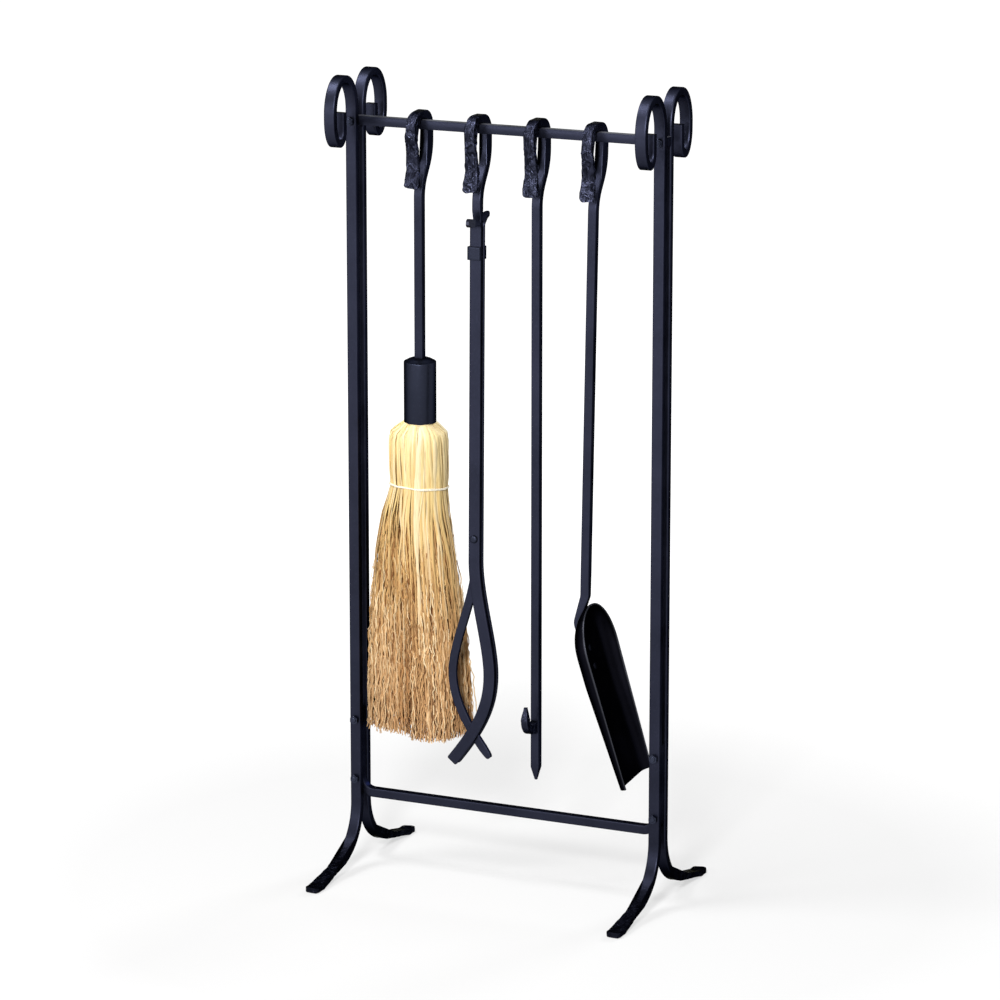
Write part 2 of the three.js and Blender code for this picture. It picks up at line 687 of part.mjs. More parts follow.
function buildTongs() {
  const tongs = new THREE.Group();
  const rivet = piece('tongs_rivet', rivetGeometry(2 * armFace), blackSteel());
  rivet.position.z = -PIVOT_DROP;
  tongs.add(
    piece('tongs_handle', tongsHandleGeometry(), blackIron()),
    piece('tongs_front_arm', tongsArmGeometry(-1), blackIron()),
    piece('tongs_rear_arm', tongsArmGeometry(1), blackIron()),
    piece('tongs_clip', clipGeometry(), blackSteel()),
    rivet,
  );
  return hang(tongs, TONGS_X, TONGS_HANG);
}

// ---- Poker -------------------------------------------------------------------------------

function pokerShaftGeometry() {
  const curves = roundedPath([...hookCorners(), { at: inYZ(0, -POKER_LENGTH) }]);
  const total = lengthOf(curves);
  return forgedBar(curves, [
    ...hookRows(),
    [total - POINT_LENGTH, TOOL_STOCK, TOOL_STOCK],
    [total, POINT_SIZE, POINT_SIZE],
  ]);
}

// A hook that is welded to the shaft's front face and curls up to a point.
function barbGeometry() {
  const rootY = -TOOL_STOCK / 2 - SEAT_GAP;
  const uprightY = rootY - BARB_REACH;
  const curves = roundedPath([
    { at: inYZ(rootY, -BARB_DROP) },
    { at: inYZ(uprightY, -BARB_DROP), bend: BARB_BEND },
    { at: inYZ(uprightY, BARB_RISE - BARB_DROP) },
  ]);
  const bendEnd = lengthOf(curves.slice(0, 2));
  return forgedBar(curves, [
    [0, ...BARB_ROOT],
    [bendEnd / 2, ...BARB_MIDDLE],
    [bendEnd, ...BARB_MIDDLE],
    [lengthOf(curves), ...BARB_POINT],
  ]);
}

function buildPoker() {
  const poker = new THREE.Group();
  poker.add(
    piece('poker_shaft', pokerShaftGeometry(), blackIron()),
    piece('poker_barb', barbGeometry(), blackIron()),
  );
  return hang(poker, POKER_X, POKER_HANG);
}

// ---- Shovel ------------------------------------------------------------------------------

const panLean = THREE.MathUtils.degToRad(PAN_LEAN);
const panTurn = THREE.MathUtils.degToRad(PAN_TURN);
const tongueX = -PAN_DEPTH[0] - SEAT_GAP - TONGUE_THICK / 2; // its centreline, behind the rim

// A point in the pan's own frame, given `along` it and `out` from its rim, in the tool's frame.
function fromPan(along, out) {
  const x = PAN_TOP[0] + along * Math.sin(panLean) + out * Math.cos(panLean);
  const z = -PAN_TOP[1] - along * Math.cos(panLean) + out * Math.sin(panLean);
  return at(x, 0, z).applyAxisAngle(at(0, 0, 1), panTurn);
}

function placeOnPan(mesh) {
  mesh.position.copy(fromPan(0, 0));
  mesh.rotation.set(0, -panLean, panTurn, 'ZYX');
  return mesh;
}

// Cutters for the rivet holes, in the pan's frame, with the rivets along its X axis.
const panRivetHoles = () => TONGUE_RIVETS.map((along) => {
  const diameter = RIVET_DIAMETER + 2 * HOLE_CLEARANCE;
  return rodAlongY(diameter, 4 * TONGUE_THICK).rotateZ(Math.PI / 2).translate(tongueX, 0, -along);
});

function shovelHandleGeometry() {
  const curves = roundedPath([
    ...hookCorners(),
    { at: inYZ(0, -NECK_DROP), bend: NECK_BEND },
    { at: fromPan(TONGUE_TOP, tongueX), bend: NECK_BEND },
    { at: fromPan(TONGUE_END, tongueX) },
  ]);
  const total = lengthOf(curves);
  const tongue = TONGUE_END - TONGUE_TOP;
  const neck = total - tongue - fromPan(TONGUE_TOP, tongueX).distanceTo(inYZ(0, -NECK_DROP));
  const bar = forgedBar(curves, [
    ...hookRows().map((row) => [...row, 0]),
    [neck - 2 * NECK_BEND, TOOL_STOCK, TOOL_STOCK, 0],
    [neck, TOOL_STOCK, TOOL_STOCK, -panTurn],
    [total - tongue + NECK_BEND, TONGUE_THICK, TONGUE_WIDTH, -panTurn],
  ]);
  const cutters = panRivetHoles().map((hole) => {
    const holder = placeOnPan(new THREE.Object3D());
    holder.updateMatrix();
    return hole.applyMatrix4(holder.matrix);
  });
  return cut(bar, cutters);
}

// Share of full size within a rounded end, at a distance from its tip.
const roundedEnd = (distance, length) => {
  const short = Math.max(0, 1 - distance / length);
  return Math.sqrt(1 - short * short);
};

// Half of the pan's section, from the rim to the middle of the back, for `part` from 0 to 1.
function panProfile(part, halfWidth, depth, corner) {
  const turn = Math.min(1, part / 0.7) * (Math.PI / 2);
  const flat = Math.max(0, (part - 0.7) / 0.3);
  const width = (halfWidth - corner) * (1 - flat) + corner * Math.cos(turn);
  return [width, -depth * Math.sin(turn)];
}

// A sheet-metal scoop, with its rim in the YZ plane, its hollow towards +X and its lip at -Z.
// Both skins are the same shape: the inner one is smaller by the thickness of the sheet.
function panGeometry() {
  const across = 14;
  const endTurns = [4, 12, 22, 33, 45, 58, 73, 90].map(THREE.MathUtils.degToRad);
  const straightShares = [0.25, 0.5, 0.75, 1];
  const rows = endTurns.length + straightShares.length - 1;
  const alongAt = (row, inside) => (row < endTurns.length
    ? inside + (PAN_ROUND_END - inside) * (1 - Math.cos(endTurns[row]))
    : THREE.MathUtils.lerp(PAN_ROUND_END, PAN_LENGTH, straightShares[row - endTurns.length]));
  const geometry = new THREE.BoxGeometry(1, 1, 1, across, 1, rows);
  const { position } = geometry.attributes;
  for (let i = 0; i < position.count; i++) {
    const inside = position.getY(i) < 0 ? PAN_WALL : 0;
    const along = alongAt(Math.round((0.5 - position.getZ(i)) * rows), inside);
    const taper = Math.max(0, (along - PAN_FLAT_END) / (PAN_LENGTH - PAN_FLAT_END));
    const fullWidth = THREE.MathUtils.lerp(...PAN_HALF_WIDTH, along / PAN_LENGTH) - inside;
    const fullDepth = THREE.MathUtils.lerp(...PAN_DEPTH, taper) - inside;
    const halfWidth = fullWidth * roundedEnd(along - inside, PAN_ROUND_END - inside);
    const depth = fullDepth * roundedEnd(along - inside, PAN_ROUND_BACK - inside);
    const corner = Math.min(PAN_CORNER - inside, 0.6 * halfWidth);
    const [width, out] = panProfile(1 - Math.abs(2 * position.getX(i)), halfWidth, depth, corner);
    position.setXYZ(i, out, Math.sign(position.getX(i)) * width, -along);
  }
  return cut(geometry, panRivetHoles());
}

function buildShovel() {
  const shovel = new THREE.Group();
  shovel.add(
    piece('shovel_handle', shovelHandleGeometry(), blackIron()),
    placeOnPan(piece('shovel_pan', panGeometry(), blackSteel())),
  );
  const stack = PAN_WALL + SEAT_GAP + TONGUE_THICK;
  const middle = -PAN_DEPTH[0] + PAN_WALL - stack / 2;
  TONGUE_RIVETS.forEach((along, i) => {
    const geometry = rivetGeometry(stack).rotateZ(Math.PI / 2).translate(middle, 0, -along);
    shovel.add(placeOnPan(piece(`shovel_${['upper', 'lower'][i]}_rivet`, geometry, blackSteel())));
  });
  return hang(shovel, SHOVEL_X, SHOVEL_HANG);
}

const toolSet = new THREE.Group();
toolSet.add(buildStand(), buildBroom(), buildTongs(), buildPoker(), buildShovel());

export default toolSet;
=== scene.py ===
# %% [markdown]
# # A forged fireplace tool set
#
# A smith's set for the hearth: a stand of flat and square bar, and a broom, tongs, a poker and
# a shovel that hang from its rail. Every piece of iron starts as a straight bar, is hammered
# wider or thinner where it needs to be, and is bent last. The script works in the same order.
#
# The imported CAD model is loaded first. It says where everything is, and each piece made here
# takes the place of one of its nodes.

# %% Load the frame
import math
import random

import bmesh
import bpy
import numpy as np
from mathutils import Matrix, Vector


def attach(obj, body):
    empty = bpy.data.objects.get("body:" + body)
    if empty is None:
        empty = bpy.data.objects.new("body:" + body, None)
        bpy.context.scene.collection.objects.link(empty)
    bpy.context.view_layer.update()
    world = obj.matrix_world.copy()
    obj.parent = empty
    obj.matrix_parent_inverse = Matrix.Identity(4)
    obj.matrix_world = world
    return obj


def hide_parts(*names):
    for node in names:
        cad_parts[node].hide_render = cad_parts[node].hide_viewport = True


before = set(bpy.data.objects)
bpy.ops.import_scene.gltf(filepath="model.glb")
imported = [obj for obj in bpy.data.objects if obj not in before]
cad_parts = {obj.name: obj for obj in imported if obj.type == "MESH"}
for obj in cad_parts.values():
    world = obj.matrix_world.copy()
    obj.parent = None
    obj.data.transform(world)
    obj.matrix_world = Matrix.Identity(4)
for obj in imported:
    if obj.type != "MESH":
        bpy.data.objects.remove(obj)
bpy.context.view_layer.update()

# %% [markdown]
# ## The camera
#
# The set is seen from a little to the right and from above. A short lens near by would frame
# it too, but the posts would lean together. A long lens from farther away keeps them almost
# parallel, so that is the way used here.

# %% Camera
MM = 0.001
CAMERA_PLACE = Vector((1878, -4110, 1501)) * MM
CAMERA_TARGET = Vector((-6, -5.4, 415.1)) * MM
LENS = 162

camera_data = bpy.data.cameras.new("camera")
camera_data.lens = LENS
camera_data.sensor_width = 36
camera_data.clip_end = 50
camera = bpy.data.objects.new("camera", camera_data)
bpy.context.scene.collection.objects.link(camera)
camera.location = CAMERA_PLACE
camera.rotation_euler = (CAMERA_TARGET - CAMERA_PLACE).to_track_quat("-Z", "Y").to_euler()
bpy.context.scene.camera = camera
print("The camera stands", round((CAMERA_TARGET - CAMERA_PLACE).length, 2), "m away")

# %% [markdown]
# ## Shader maths in plain Python
#
# A material could be wired by hand in the node editor, one link at a time. It is easier to
# read as a formula. `Value` wraps a socket and turns `+`, `-` and `*` into Math nodes, and
# `Shader` adds every other node by its type, through one method.

# %% Numbers that vary over a surface
class Value:
    """A number that varies over a surface, and the Math nodes that act on it."""

    def __init__(self, shader, socket):
        self.shader = shader
        self.socket = socket

    def math(self, operation, *others):
        inputs = dict(enumerate([self, *others]))
        return self.shader.node("ShaderNodeMath", {"operation": operation}, inputs)

    def __add__(self, other):
        return self.math("ADD", other)

    def __sub__(self, other):
        return self.math("SUBTRACT", other)

    def __mul__(self, other):
        return self.math("MULTIPLY", other)

    def __rsub__(self, other):
        return self.shader.node("ShaderNodeMath", {"operation": "SUBTRACT"}, {0: other, 1: self})

    __radd__ = __add__
    __rmul__ = __mul__


print("A value can be added, subtracted and multiplied, from either side")

# %% Nodes by their type
class Shader:
    """A node tree that grows by one node at a time. `surface` is its Principled BSDF."""

    def __init__(self, name=None, tree=None):
        if tree is None:
            self.material = bpy.data.materials.new(name)
            self.material.use_nodes = True
            tree = self.material.node_tree
            self.surface = tree.nodes["Principled BSDF"]
        self.tree = tree

    def node(self, kind, settings=None, inputs=None, output=0):
        made = self.tree.nodes.new(kind)
        for key, value in (settings or {}).items():
            if key == "stops":
                ramp = made.color_ramp
                while len(ramp.elements) < len(value):
                    ramp.elements.new(0.5)
                for element, (place, color) in zip(ramp.elements, value):
                    element.position = place
                    element.color = color
            else:
                setattr(made, key, value)
        for key, value in (inputs or {}).items():
            self.set(made.inputs[key], value)
        return Value(self, made.outputs[output])

    def set(self, socket, value):
        if isinstance(value, Value):
            self.tree.links.new(value.socket, socket)
        else:
            socket.default_value = value

    def finish(self, **inputs):
        for key, value in inputs.items():
            self.set(self.surface.inputs[key.replace("_", " ")], value)
        return self.material

    def place(self, stretch=(1, 1, 1), turn=(0, 0, 0)):
        """Object coordinates, stretched and turned."""
        spot = self.node("ShaderNodeTexCoord", output="Object")
        return self.node(
            "ShaderNodeMapping", {}, {"Vector": spot, "Scale": stretch, "Rotation": turn}
        )

    def noise(self, spot, scale, detail=2.0, roughness=0.5):
        inputs = {"Vector": spot, "Scale": scale, "Detail": detail, "Roughness": roughness}
        return self.node("ShaderNodeTexNoise", {}, inputs, "Fac")

    def cells(self, spot, scale, smoothness=1.0):
        settings = {"feature": "SMOOTH_F1"}
        inputs = {"Vector": spot, "Scale": scale, "Smoothness": smoothness}
        return self.node("ShaderNodeTexVoronoi", settings, inputs, "Distance")

    def spread(self, value, low, high, to_low=0.0, to_high=1.0):
        """Stretches the part of a value between low and high over a new range."""
        inputs = {"Value": value, 1: low, 2: high, 3: to_low, 4: to_high}
        return self.node("ShaderNodeMapRange", {"clamp": True}, inputs)

    def ramp(self, value, stops):
        """Colours along a value, from (place, colour) pairs."""
        stops = [(place, (*color, 1)) for place, color in stops]
        return self.node("ShaderNodeValToRGB", {"stops": stops}, {"Fac": value})

    def mix(self, share, first, second, blend="MIX"):
        colors = [color if isinstance(color, Value) else (*color, 1) for color in (first, second)]
        settings = {"data_type": "RGBA", "blend_type": blend}
        return self.node("ShaderNodeMix", settings, {0: share, 6: colors[0], 7: colors[1]}, 2)

    def bump(self, height, distance, strength=1.0, under=None):
        inputs = {"Height": height, "Distance": distance, "Strength": strength}
        if under is not None:
            inputs["Normal"] = under
        return self.node("ShaderNodeBump", {}, inputs)


print("A shader's patterns:", "place, noise, cells, spread, ramp, mix and bump")

# %% Colours as a screen shows them
def tone(red, green, blue):
    """The colour that a screen shows as these numbers out of 255, as a shader needs it."""
    shares = [value / 255 for value in (red, green, blue)]
    return tuple(s / 12.92 if s < 0.04045 else ((s + 0.055) / 1.055) ** 2.4 for s in shares)


print("Half grey on a screen is", round(tone(128, 128, 128)[0], 3), "to a shader")

# %% [markdown]
# ## The studio
#
# A real white studio has a floor that curves up into a lit wall. Here a sky and one wide plane
# do that. Both are white to the camera and to reflections, and nearly dark to everything else,
# so a bright background puts no extra light on the iron. The floor is a little less white
# below the stand, which leaves room for its soft shadow.

# %% Sky and floor
AMBIENT = 0.16
FLOOR_SIZE, FLOOR_GREY, FLOOR_Z = 30, 0.3, -0.0005
SHADE_NEAR, SHADE_FAR, SHADE = 0.45, 1.4, 0.6


def studio_white(shader, dim):
    """A strength of 1 to the camera and to reflections, and `dim` to everything else."""
    seen = shader.node("ShaderNodeLightPath", output="Is Camera Ray")
    for ray in ("Is Glossy Ray", "Is Transmission Ray"):
        seen = seen.math("MAXIMUM", shader.node("ShaderNodeLightPath", output=ray))
    return shader.spread(seen, 0, 1, dim, 1)


world = bpy.data.worlds.new("studio")
bpy.context.scene.world = world
world.use_nodes = True
sky = Shader(tree=world.node_tree)
background = world.node_tree.nodes["Background"]
sky.set(background.inputs["Color"], (1, 1, 1, 1))
sky.set(background.inputs["Strength"], studio_white(sky, AMBIENT))

bpy.ops.object.select_all(action="DESELECT")
bpy.ops.mesh.primitive_plane_add(size=FLOOR_SIZE)
floor = bpy.context.object
floor.name = "studio_floor"
floor_shader = Shader("pale_floor")
floor_color = (FLOOR_GREY, FLOOR_GREY, FLOOR_GREY, 1)
floor_shader.finish(Base_Color=floor_color, Roughness=1.0, Specular_IOR_Level=0.0)
distance = floor_shader.node(
    "ShaderNodeVectorMath", {"operation": "LENGTH"}, {0: floor_shader.place()}, "Value"
)
grey = floor_shader.spread(distance, SHADE_NEAR, SHADE_FAR, SHADE, 1.0)
glow = {"Color": grey, "Strength": studio_white(floor_shader, 0.0)}
floor_white = floor_shader.node("ShaderNodeEmission", {}, glow)
matte = Value(floor_shader, floor_shader.surface.outputs[0])
floor_look = floor_shader.node("ShaderNodeAddShader", {}, {0: matte, 1: floor_white})
floor_shader.set(floor_shader.tree.nodes["Material Output"].inputs["Surface"], floor_look)
floor.data.materials.append(floor_shader.material)
floor.location.z = FLOOR_Z
bpy.context.scene.view_settings.view_transform = "Standard"
print("The floor is", FLOOR_SIZE, "m wide and quite white from", SHADE_FAR, "m out")

# %% [markdown]
# Small lamps would draw hard shadows and pinpoint glints on the bars, so every lamp is a wide
# disc. The key hangs in front, so the fronts of the bars show their blue-black scale while
# their right-hand sides stay nearly black. A weak one fills from the left, one from above
# lights the rails and scrolls, and one from behind keeps the back of the set readable.

# %% Lamps
# Name, place in metres, height aimed at, width of the disc and power in watts.
LAMPS = (
    ("key", (0.7, -3.1, 1.9), 0.45, 0.6, 122),
    ("fill", (-1.3, -2.7, 1.0), 0.45, 1.0, 14),
    ("top", (-1.2, -0.8, 3.0), 0.6, 1.0, 48),
    ("back", (0.9, 3.4, 1.8), 0.45, 1.2, 75),
)
for name, place, aim, size, power in LAMPS:
    light = bpy.data.lights.new(name, "AREA")
    light.shape = "DISK"
    light.size = size
    light.energy = power
    lamp = bpy.data.objects.new(name, light)
    bpy.context.scene.collection.objects.link(lamp)
    lamp.location = place
    to_target = Vector((0, 0, aim)) - Vector(place)
    lamp.rotation_euler = to_target.to_track_quat("-Z", "Y").to_euler()
print("Lamps:", ", ".join(f"{lamp[0]} {lamp[4]} W" for lamp in LAMPS))


# %% [markdown]
# ## How a smith's bar is made here
#
# A real bar is drawn out on the anvil while it is straight, because a straight bar is easy to
# turn and measure. It is bent round the horn afterwards. The same order works in Blender: a
# box is stretched to the length of the finished bar, cut into stations, and each station is
# scaled to its own width and thickness. Only then does a Curve modifier bend it.
#
# Sweeping a section along the path would be shorter to write, but its faces would be
# stretched and squeezed at every bend before the hammer reaches them.
#
# The first helpers select by place, so that every operator knows what it acts on.

# %% Select, settle and apply
def only(piece):
    """Makes one piece the selected and active one."""
    bpy.ops.object.select_all(action="DESELECT")
    piece.select_set(True)
    bpy.context.view_layer.objects.active = piece
    return piece


def pick(piece, kind, test):
    """In edit mode, selects the vertices, edges or faces of a piece that pass a test."""
    bpy.ops.mesh.select_mode(type={"verts": "VERT", "edges": "EDGE", "faces": "FACE"}[kind])
    bpy.ops.mesh.select_all(action="DESELECT")
    mesh = bmesh.from_edit_mesh(piece.data)
    for element in getattr(mesh, kind):
        if test(element):
            element.select_set(True)
    mesh.select_flush_mode()
    bmesh.update_edit_mesh(piece.data)


def settle(piece):
    """Moves the place, turn and size of an object into its mesh."""
    only(piece)
    bpy.ops.object.transform_apply(location=True, rotation=True, scale=True)
    return piece


def apply(piece, kind, **settings):
    """Adds one modifier and applies it."""
    modifier = only(piece).modifiers.new(kind.lower(), kind)
    for key, value in settings.items():
        setattr(modifier, key, value)
    bpy.ops.object.modifier_apply(modifier=modifier.name)
    return piece


print("Helpers: only, pick, settle and apply")

# %% [markdown]
# A path is a list of points in one plane, in millimetres: straight stretches with an arc at
# each corner. Blender's own curves could round them, but then the length of the finished bar
# would have to be measured instead of worked out.

# %% Draw a path
PATH_STEP, ARC_STEP, ARC_CUTS = 2.0, 1.2, 10


def straight(start, end):
    start, end = Vector(start), Vector(end)
    count = max(1, round((end - start).length / PATH_STEP))
    return [start.lerp(end, i / count) for i in range(count + 1)]


def arc(centre, first, second, sweep):
    """Part of an ellipse: its centre + first cos(t) + second sin(t), for t from 0 to sweep."""
    centre, first, second = Vector(centre), Vector(first), Vector(second)
    count = max(ARC_CUTS, math.ceil(sweep * max(first.length, second.length) / ARC_STEP))
    turns = [sweep * i / count for i in range(count + 1)]
    return [centre + first * math.cos(t) + second * math.sin(t) for t in turns]


def bow(start, pull, other_pull, end):
    """A curve that leaves its start towards one pull and arrives from the other."""
    points = [Vector(p) for p in (start, pull, other_pull, end)]
    count = math.ceil((points[3] - points[0]).length / PATH_STEP)
    found = []
    for i in range(count + 1):
        t = i / count
        shares = ((1 - t) ** 3, 3 * t * (1 - t) ** 2, 3 * t * t * (1 - t), t**3)
        found.append(sum((s * p for s, p in zip(shares, points)), Vector((0, 0))))
    return found


def joined(*stretches):
    """One path from several that follow each other."""
    path = list(stretches[0])
    for stretch in stretches[1:]:
        path.extend(stretch[1:])
    return path


def rounded(corners):
    """Straight stretches between corners (y, z, bend radius), with every corner rounded."""
    stretches = []
    start = Vector(corners[0][:2])
    for corner, following in zip(corners[1:], corners[2:]):
        middle = Vector(corner[:2])
        back = (start - middle).normalized()
        onward = (Vector(following[:2]) - middle).normalized()
        angle = back.angle(onward)
        bend_start = middle + back * corner[2] / math.tan(angle / 2)
        centre = middle + (back + onward).normalized() * corner[2] / math.sin(angle / 2)
        turn = arc(centre, bend_start - centre, -back * corner[2], math.pi - angle)
        stretches += [straight(start, bend_start), turn]
        start = turn[-1]
    stretches.append(straight(start, corners[-1][:2]))
    return joined(*stretches)


def length_of(path):
    return sum((b - a).length for a, b in zip(path, path[1:]))


corner_of_bar = rounded([(0, 0, 0), (50, 0, 30), (50, 50, 0)])
print("Two legs to a corner 50 mm away take", round(length_of(corner_of_bar), 1), "mm of bar")

# %% [markdown]
# A bar is a list of rows, each a distance with a width and a thickness there. The box is cut
# at every row and scaled row by row, its long edges are rounded a little, and the stretches
# that will be hammered or bent are cut into short steps.

# %% Forge a straight bar
ARRIS = 0.65
HAIR = 1e-6
FINE_SKIN, PLAIN_SKIN, PLAIN_STEP = 1.7, 6.0, 9


def runs_along(edge):
    return abs(edge.verts[0].co.x - edge.verts[1].co.x) > HAIR


def cut_at(distance):
    """Cuts a straight bar across, in edit mode."""
    bpy.ops.mesh.select_all(action="SELECT")
    bpy.ops.mesh.bisect(plane_co=(distance * MM, 0, 0), plane_no=(1, 0, 0))


def cut_skin(piece, rows, arris, detail):
    """Cuts the short edges of the sections into steps of `detail`."""
    for axis in (1, 2):
        size = max(row[3 - axis] for row in rows)
        cuts = round((size - 2 * arris) / detail) - 1
        if cuts > 0:
            flat = lambda e: not runs_along(e) and (
                abs(e.verts[0].co[3 - axis] - e.verts[1].co[3 - axis]) < HAIR / 10
            )
            pick(piece, "edges", flat)
            bpy.ops.mesh.subdivide(number_cuts=cuts)


def forge(name, rows, fine=(), arris=ARRIS):
    """A bar along X from rows of (distance, width, thickness), in millimetres.

    `fine` holds (start, end, step) for the stretches that are cut into shorter steps.
    """
    start, width, thick = rows[0]
    end = rows[-1][0]
    bpy.ops.object.select_all(action="DESELECT")
    bpy.ops.mesh.primitive_cube_add(
        size=1, location=((start + end) / 2 * MM, 0, 0), scale=((end - start) * MM, MM, MM)
    )
    piece = settle(bpy.context.object)
    piece.name = name
    bpy.ops.object.mode_set(mode="EDIT")
    for distance, _, _ in rows[1:-1]:
        cut_at(distance)
    for distance, width, thick in rows:
        pick(piece, "verts", lambda v: abs(v.co.x - distance * MM) < HAIR)
        bpy.ops.transform.resize(
            value=(1, thick, width), center_override=(distance * MM, 0, 0)
        )
    pick(piece, "edges", runs_along)
    bpy.ops.mesh.bevel(offset=arris * MM, segments=2, affect="EDGES")
    cut_skin(piece, rows, arris, FINE_SKIN if fine else PLAIN_SKIN)
    stations = sorted({row[0] for row in rows} | {p for f in fine for p in f[:2]})
    stations = [s for s in stations if start <= s <= end]
    for distance in stations[1:-1]:
        cut_at(distance)
    for low, high in zip(stations, stations[1:]):
        steps = [f[2] for f in fine if f[0] <= (low + high) / 2 <= f[1]]
        cuts = round((high - low) / min(steps, default=PLAIN_STEP)) - 1
        if cuts > 0:
            inside = lambda e: runs_along(e) and (
                low * MM < (e.verts[0].co.x + e.verts[1].co.x) / 2 < high * MM
            )
            pick(piece, "edges", inside)
            bpy.ops.mesh.subdivide(number_cuts=cuts)
    bpy.ops.object.mode_set(mode="OBJECT")
    return piece


print("Long edges are rounded by", ARRIS, "mm")

# %% [markdown]
# The hammer leaves flat facets and rocky dents where the iron was worked thin. They could be
# sculpted by hand, or only drawn into the material, but drawn dents leave the outline smooth.
# A Displace modifier with two procedural textures moves the skin inwards only, so the bar
# never grows past its own size. It works on the straight bar, so the dents bend with it.

# %% Hammer it
def dent_texture(name, kind, size, **settings):
    texture = bpy.data.textures.new(name, kind)
    texture.noise_scale = size * MM
    for key, value in settings.items():
        setattr(texture, key, value)
    return texture


facets = dent_texture("hammer_facets", "VORONOI", 8.5, contrast=2.0, intensity=1.1)
grit = dent_texture("hammer_grit", "CLOUDS", 4.5, noise_depth=1, contrast=1.6)
DEEP = 1.2
random.seed(11)


def hammer(piece, start, end, depth, ease=10):
    """Dents a straight bar between two distances, less and less towards both ends."""
    group = piece.vertex_groups.new(name="dents")
    shares = []
    for vertex in piece.data.vertices:
        distance = vertex.co.x / MM
        share = min((distance - start) / ease + 1, (end - distance) / ease + 1, 1)
        shares.append(max(0.0, share))
        group.add([vertex.index], shares[-1], "REPLACE")
    if "hammered" not in piece.data.attributes:
        piece.data.attributes.new("hammered", "FLOAT", "POINT")
    marks = np.zeros(len(shares), np.float32)
    piece.data.attributes["hammered"].data.foreach_get("value", marks)
    marks = np.maximum(marks, np.array(shares, np.float32) * min(1, depth / DEEP))
    piece.data.attributes["hammered"].data.foreach_set("value", marks)
    seed = bpy.data.objects.new("dent_seed", None)
    bpy.context.scene.collection.objects.link(seed)
    seed.location = (random.uniform(-1, 1), random.uniform(-1, 1), random.uniform(-1, 1))
    for texture, share in ((facets, 1.0), (grit, 0.4)):
        apply(
            piece,
            "DISPLACE",
            texture=texture,
            texture_coords="OBJECT",
            texture_coords_object=seed,
            vertex_group="dents",
            mid_level=0.0,
            strength=-depth * share * MM,
        )
    bpy.data.objects.remove(seed)
    piece.vertex_groups.clear()
    return piece


print("Dents come from", facets.name, "and", grit.name)

# %% [markdown]
# A bar is bent cold here: a Curve modifier carries every vertex along the path and turns it
# with the path. A jaw or a crank is bent sideways first, while the hook is still straight.

# %% Bend it
def bend(piece, path):
    """Bends a bar that lies along X, so that it follows a path in the XY plane."""
    curve = bpy.data.curves.new("bend", "CURVE")
    curve.dimensions = "2D"
    spline = curve.splines.new("POLY")
    spline.points.add(len(path) - 1)
    for point, place in zip(spline.points, path):
        point.co = (place[0] * MM, place[1] * MM, 0, 1)
    guide = bpy.data.objects.new("bend", curve)
    bpy.context.scene.collection.objects.link(guide)
    apply(piece, "CURVE", object=guide, deform_axis="POS_X")
    bpy.data.objects.remove(guide)
    bpy.data.curves.remove(curve)
    return piece


def bend_sideways(piece, path):
    """The same in the XZ plane, for a bar that is bent in two planes."""
    piece.data.transform(Matrix.Rotation(math.radians(-90), 4, "X"))
    bend(piece, path)
    piece.data.transform(Matrix.Rotation(math.radians(90), 4, "X"))
    return piece


SIDE_PLANE = Matrix(((0, 0, 1, 0), (1, 0, 0, 0), (0, 1, 0, 0), (0, 0, 0, 1)))
print("A path's X and Y become the set's", "Y and Z" if SIDE_PLANE[1][0] else "X and Z")

# %% [markdown]
# A finished piece is moved to its place with its mesh, so that its object stays at the
# origin. It is told which body it rides on and what it is made of, and the CAD nodes that it
# stands for are hidden.

# %% Put a piece in its place
def finish_piece(piece, body, nodes, material, matrix=None, smooth=40):
    """Puts a piece in its place and hides the CAD nodes it stands for."""
    if matrix is not None:
        piece.data.transform(matrix)
    only(piece)
    bpy.ops.object.shade_smooth_by_angle(angle=math.radians(smooth))
    piece.data.materials.clear()
    piece.data.materials.append(material)
    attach(piece, body)
    if nodes:
        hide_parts(*nodes)
    return piece


def set_highlight(piece, share):
    """Keeps on every vertex how strong a painted highlight in bare grey is there, for the iron's
    finish.
    """
    values = [share(vertex) for vertex in piece.data.vertices]
    piece.data.attributes.new("rubbed", "FLOAT", "POINT").data.foreach_set("value", values)


def round_rim(piece, width):
    """Rounds the sharp edges of a sheet."""
    sharp = math.radians(60)
    apply(piece, "BEVEL", width=width * MM, segments=2, limit_method="ANGLE", angle_limit=sharp)


def copy_of(piece, name):
    """A second piece with its own mesh."""
    twin = piece.copy()
    twin.data = piece.data.copy()
    twin.name = name
    bpy.context.scene.collection.objects.link(twin)
    return twin


# %% [markdown]
# ## The finishes
#
# The iron has a blue-black scale, thin enough to keep the hammer marks and a little uneven.
# The fasteners and the sheet are nearly black steel, and the sheet and its rivets are darker
# still, as painted shade for the inside of the pan. The finishes also carry painted shade in
# the hammered hollows and towards the floor, and painted highlights on the hammered crests,
# along the top rail, on the pan's rim and on the front horn. Black paint over a dull base
# would look grey on every side in a white room. A metal with a dark tint at its edges keeps
# the sides that turn away as deep as real blackened iron.

# %% Black iron
EDGE_TINT = (0.14, 0.14, 0.08, 1)
HIGHLIGHT_GREY = tone(136, 138, 150)
FOOT_SHADE_HEIGHTS = (0.075, 0.03)


def bare_grey_highlight(shader, color, clouds):
    """A painted highlight in bare iron grey, as strong as the vertex attribute asks."""
    rubbed = shader.node("ShaderNodeAttribute", {"attribute_name": "rubbed"}, {}, 2)
    return shader.mix(rubbed * shader.spread(clouds, 0.25, 0.6, 0.6, 1), color, HIGHLIGHT_GREY)


def shade_towards_floor(shader, color, spot, dark):
    """Painted shade: darker towards the floor."""
    height = shader.node("ShaderNodeSeparateXYZ", {}, {0: spot}, 2)
    low = shader.spread(height, *FOOT_SHADE_HEIGHTS) * 0.7
    return shader.mix(low, color, tuple(0.2 * c for c in dark))


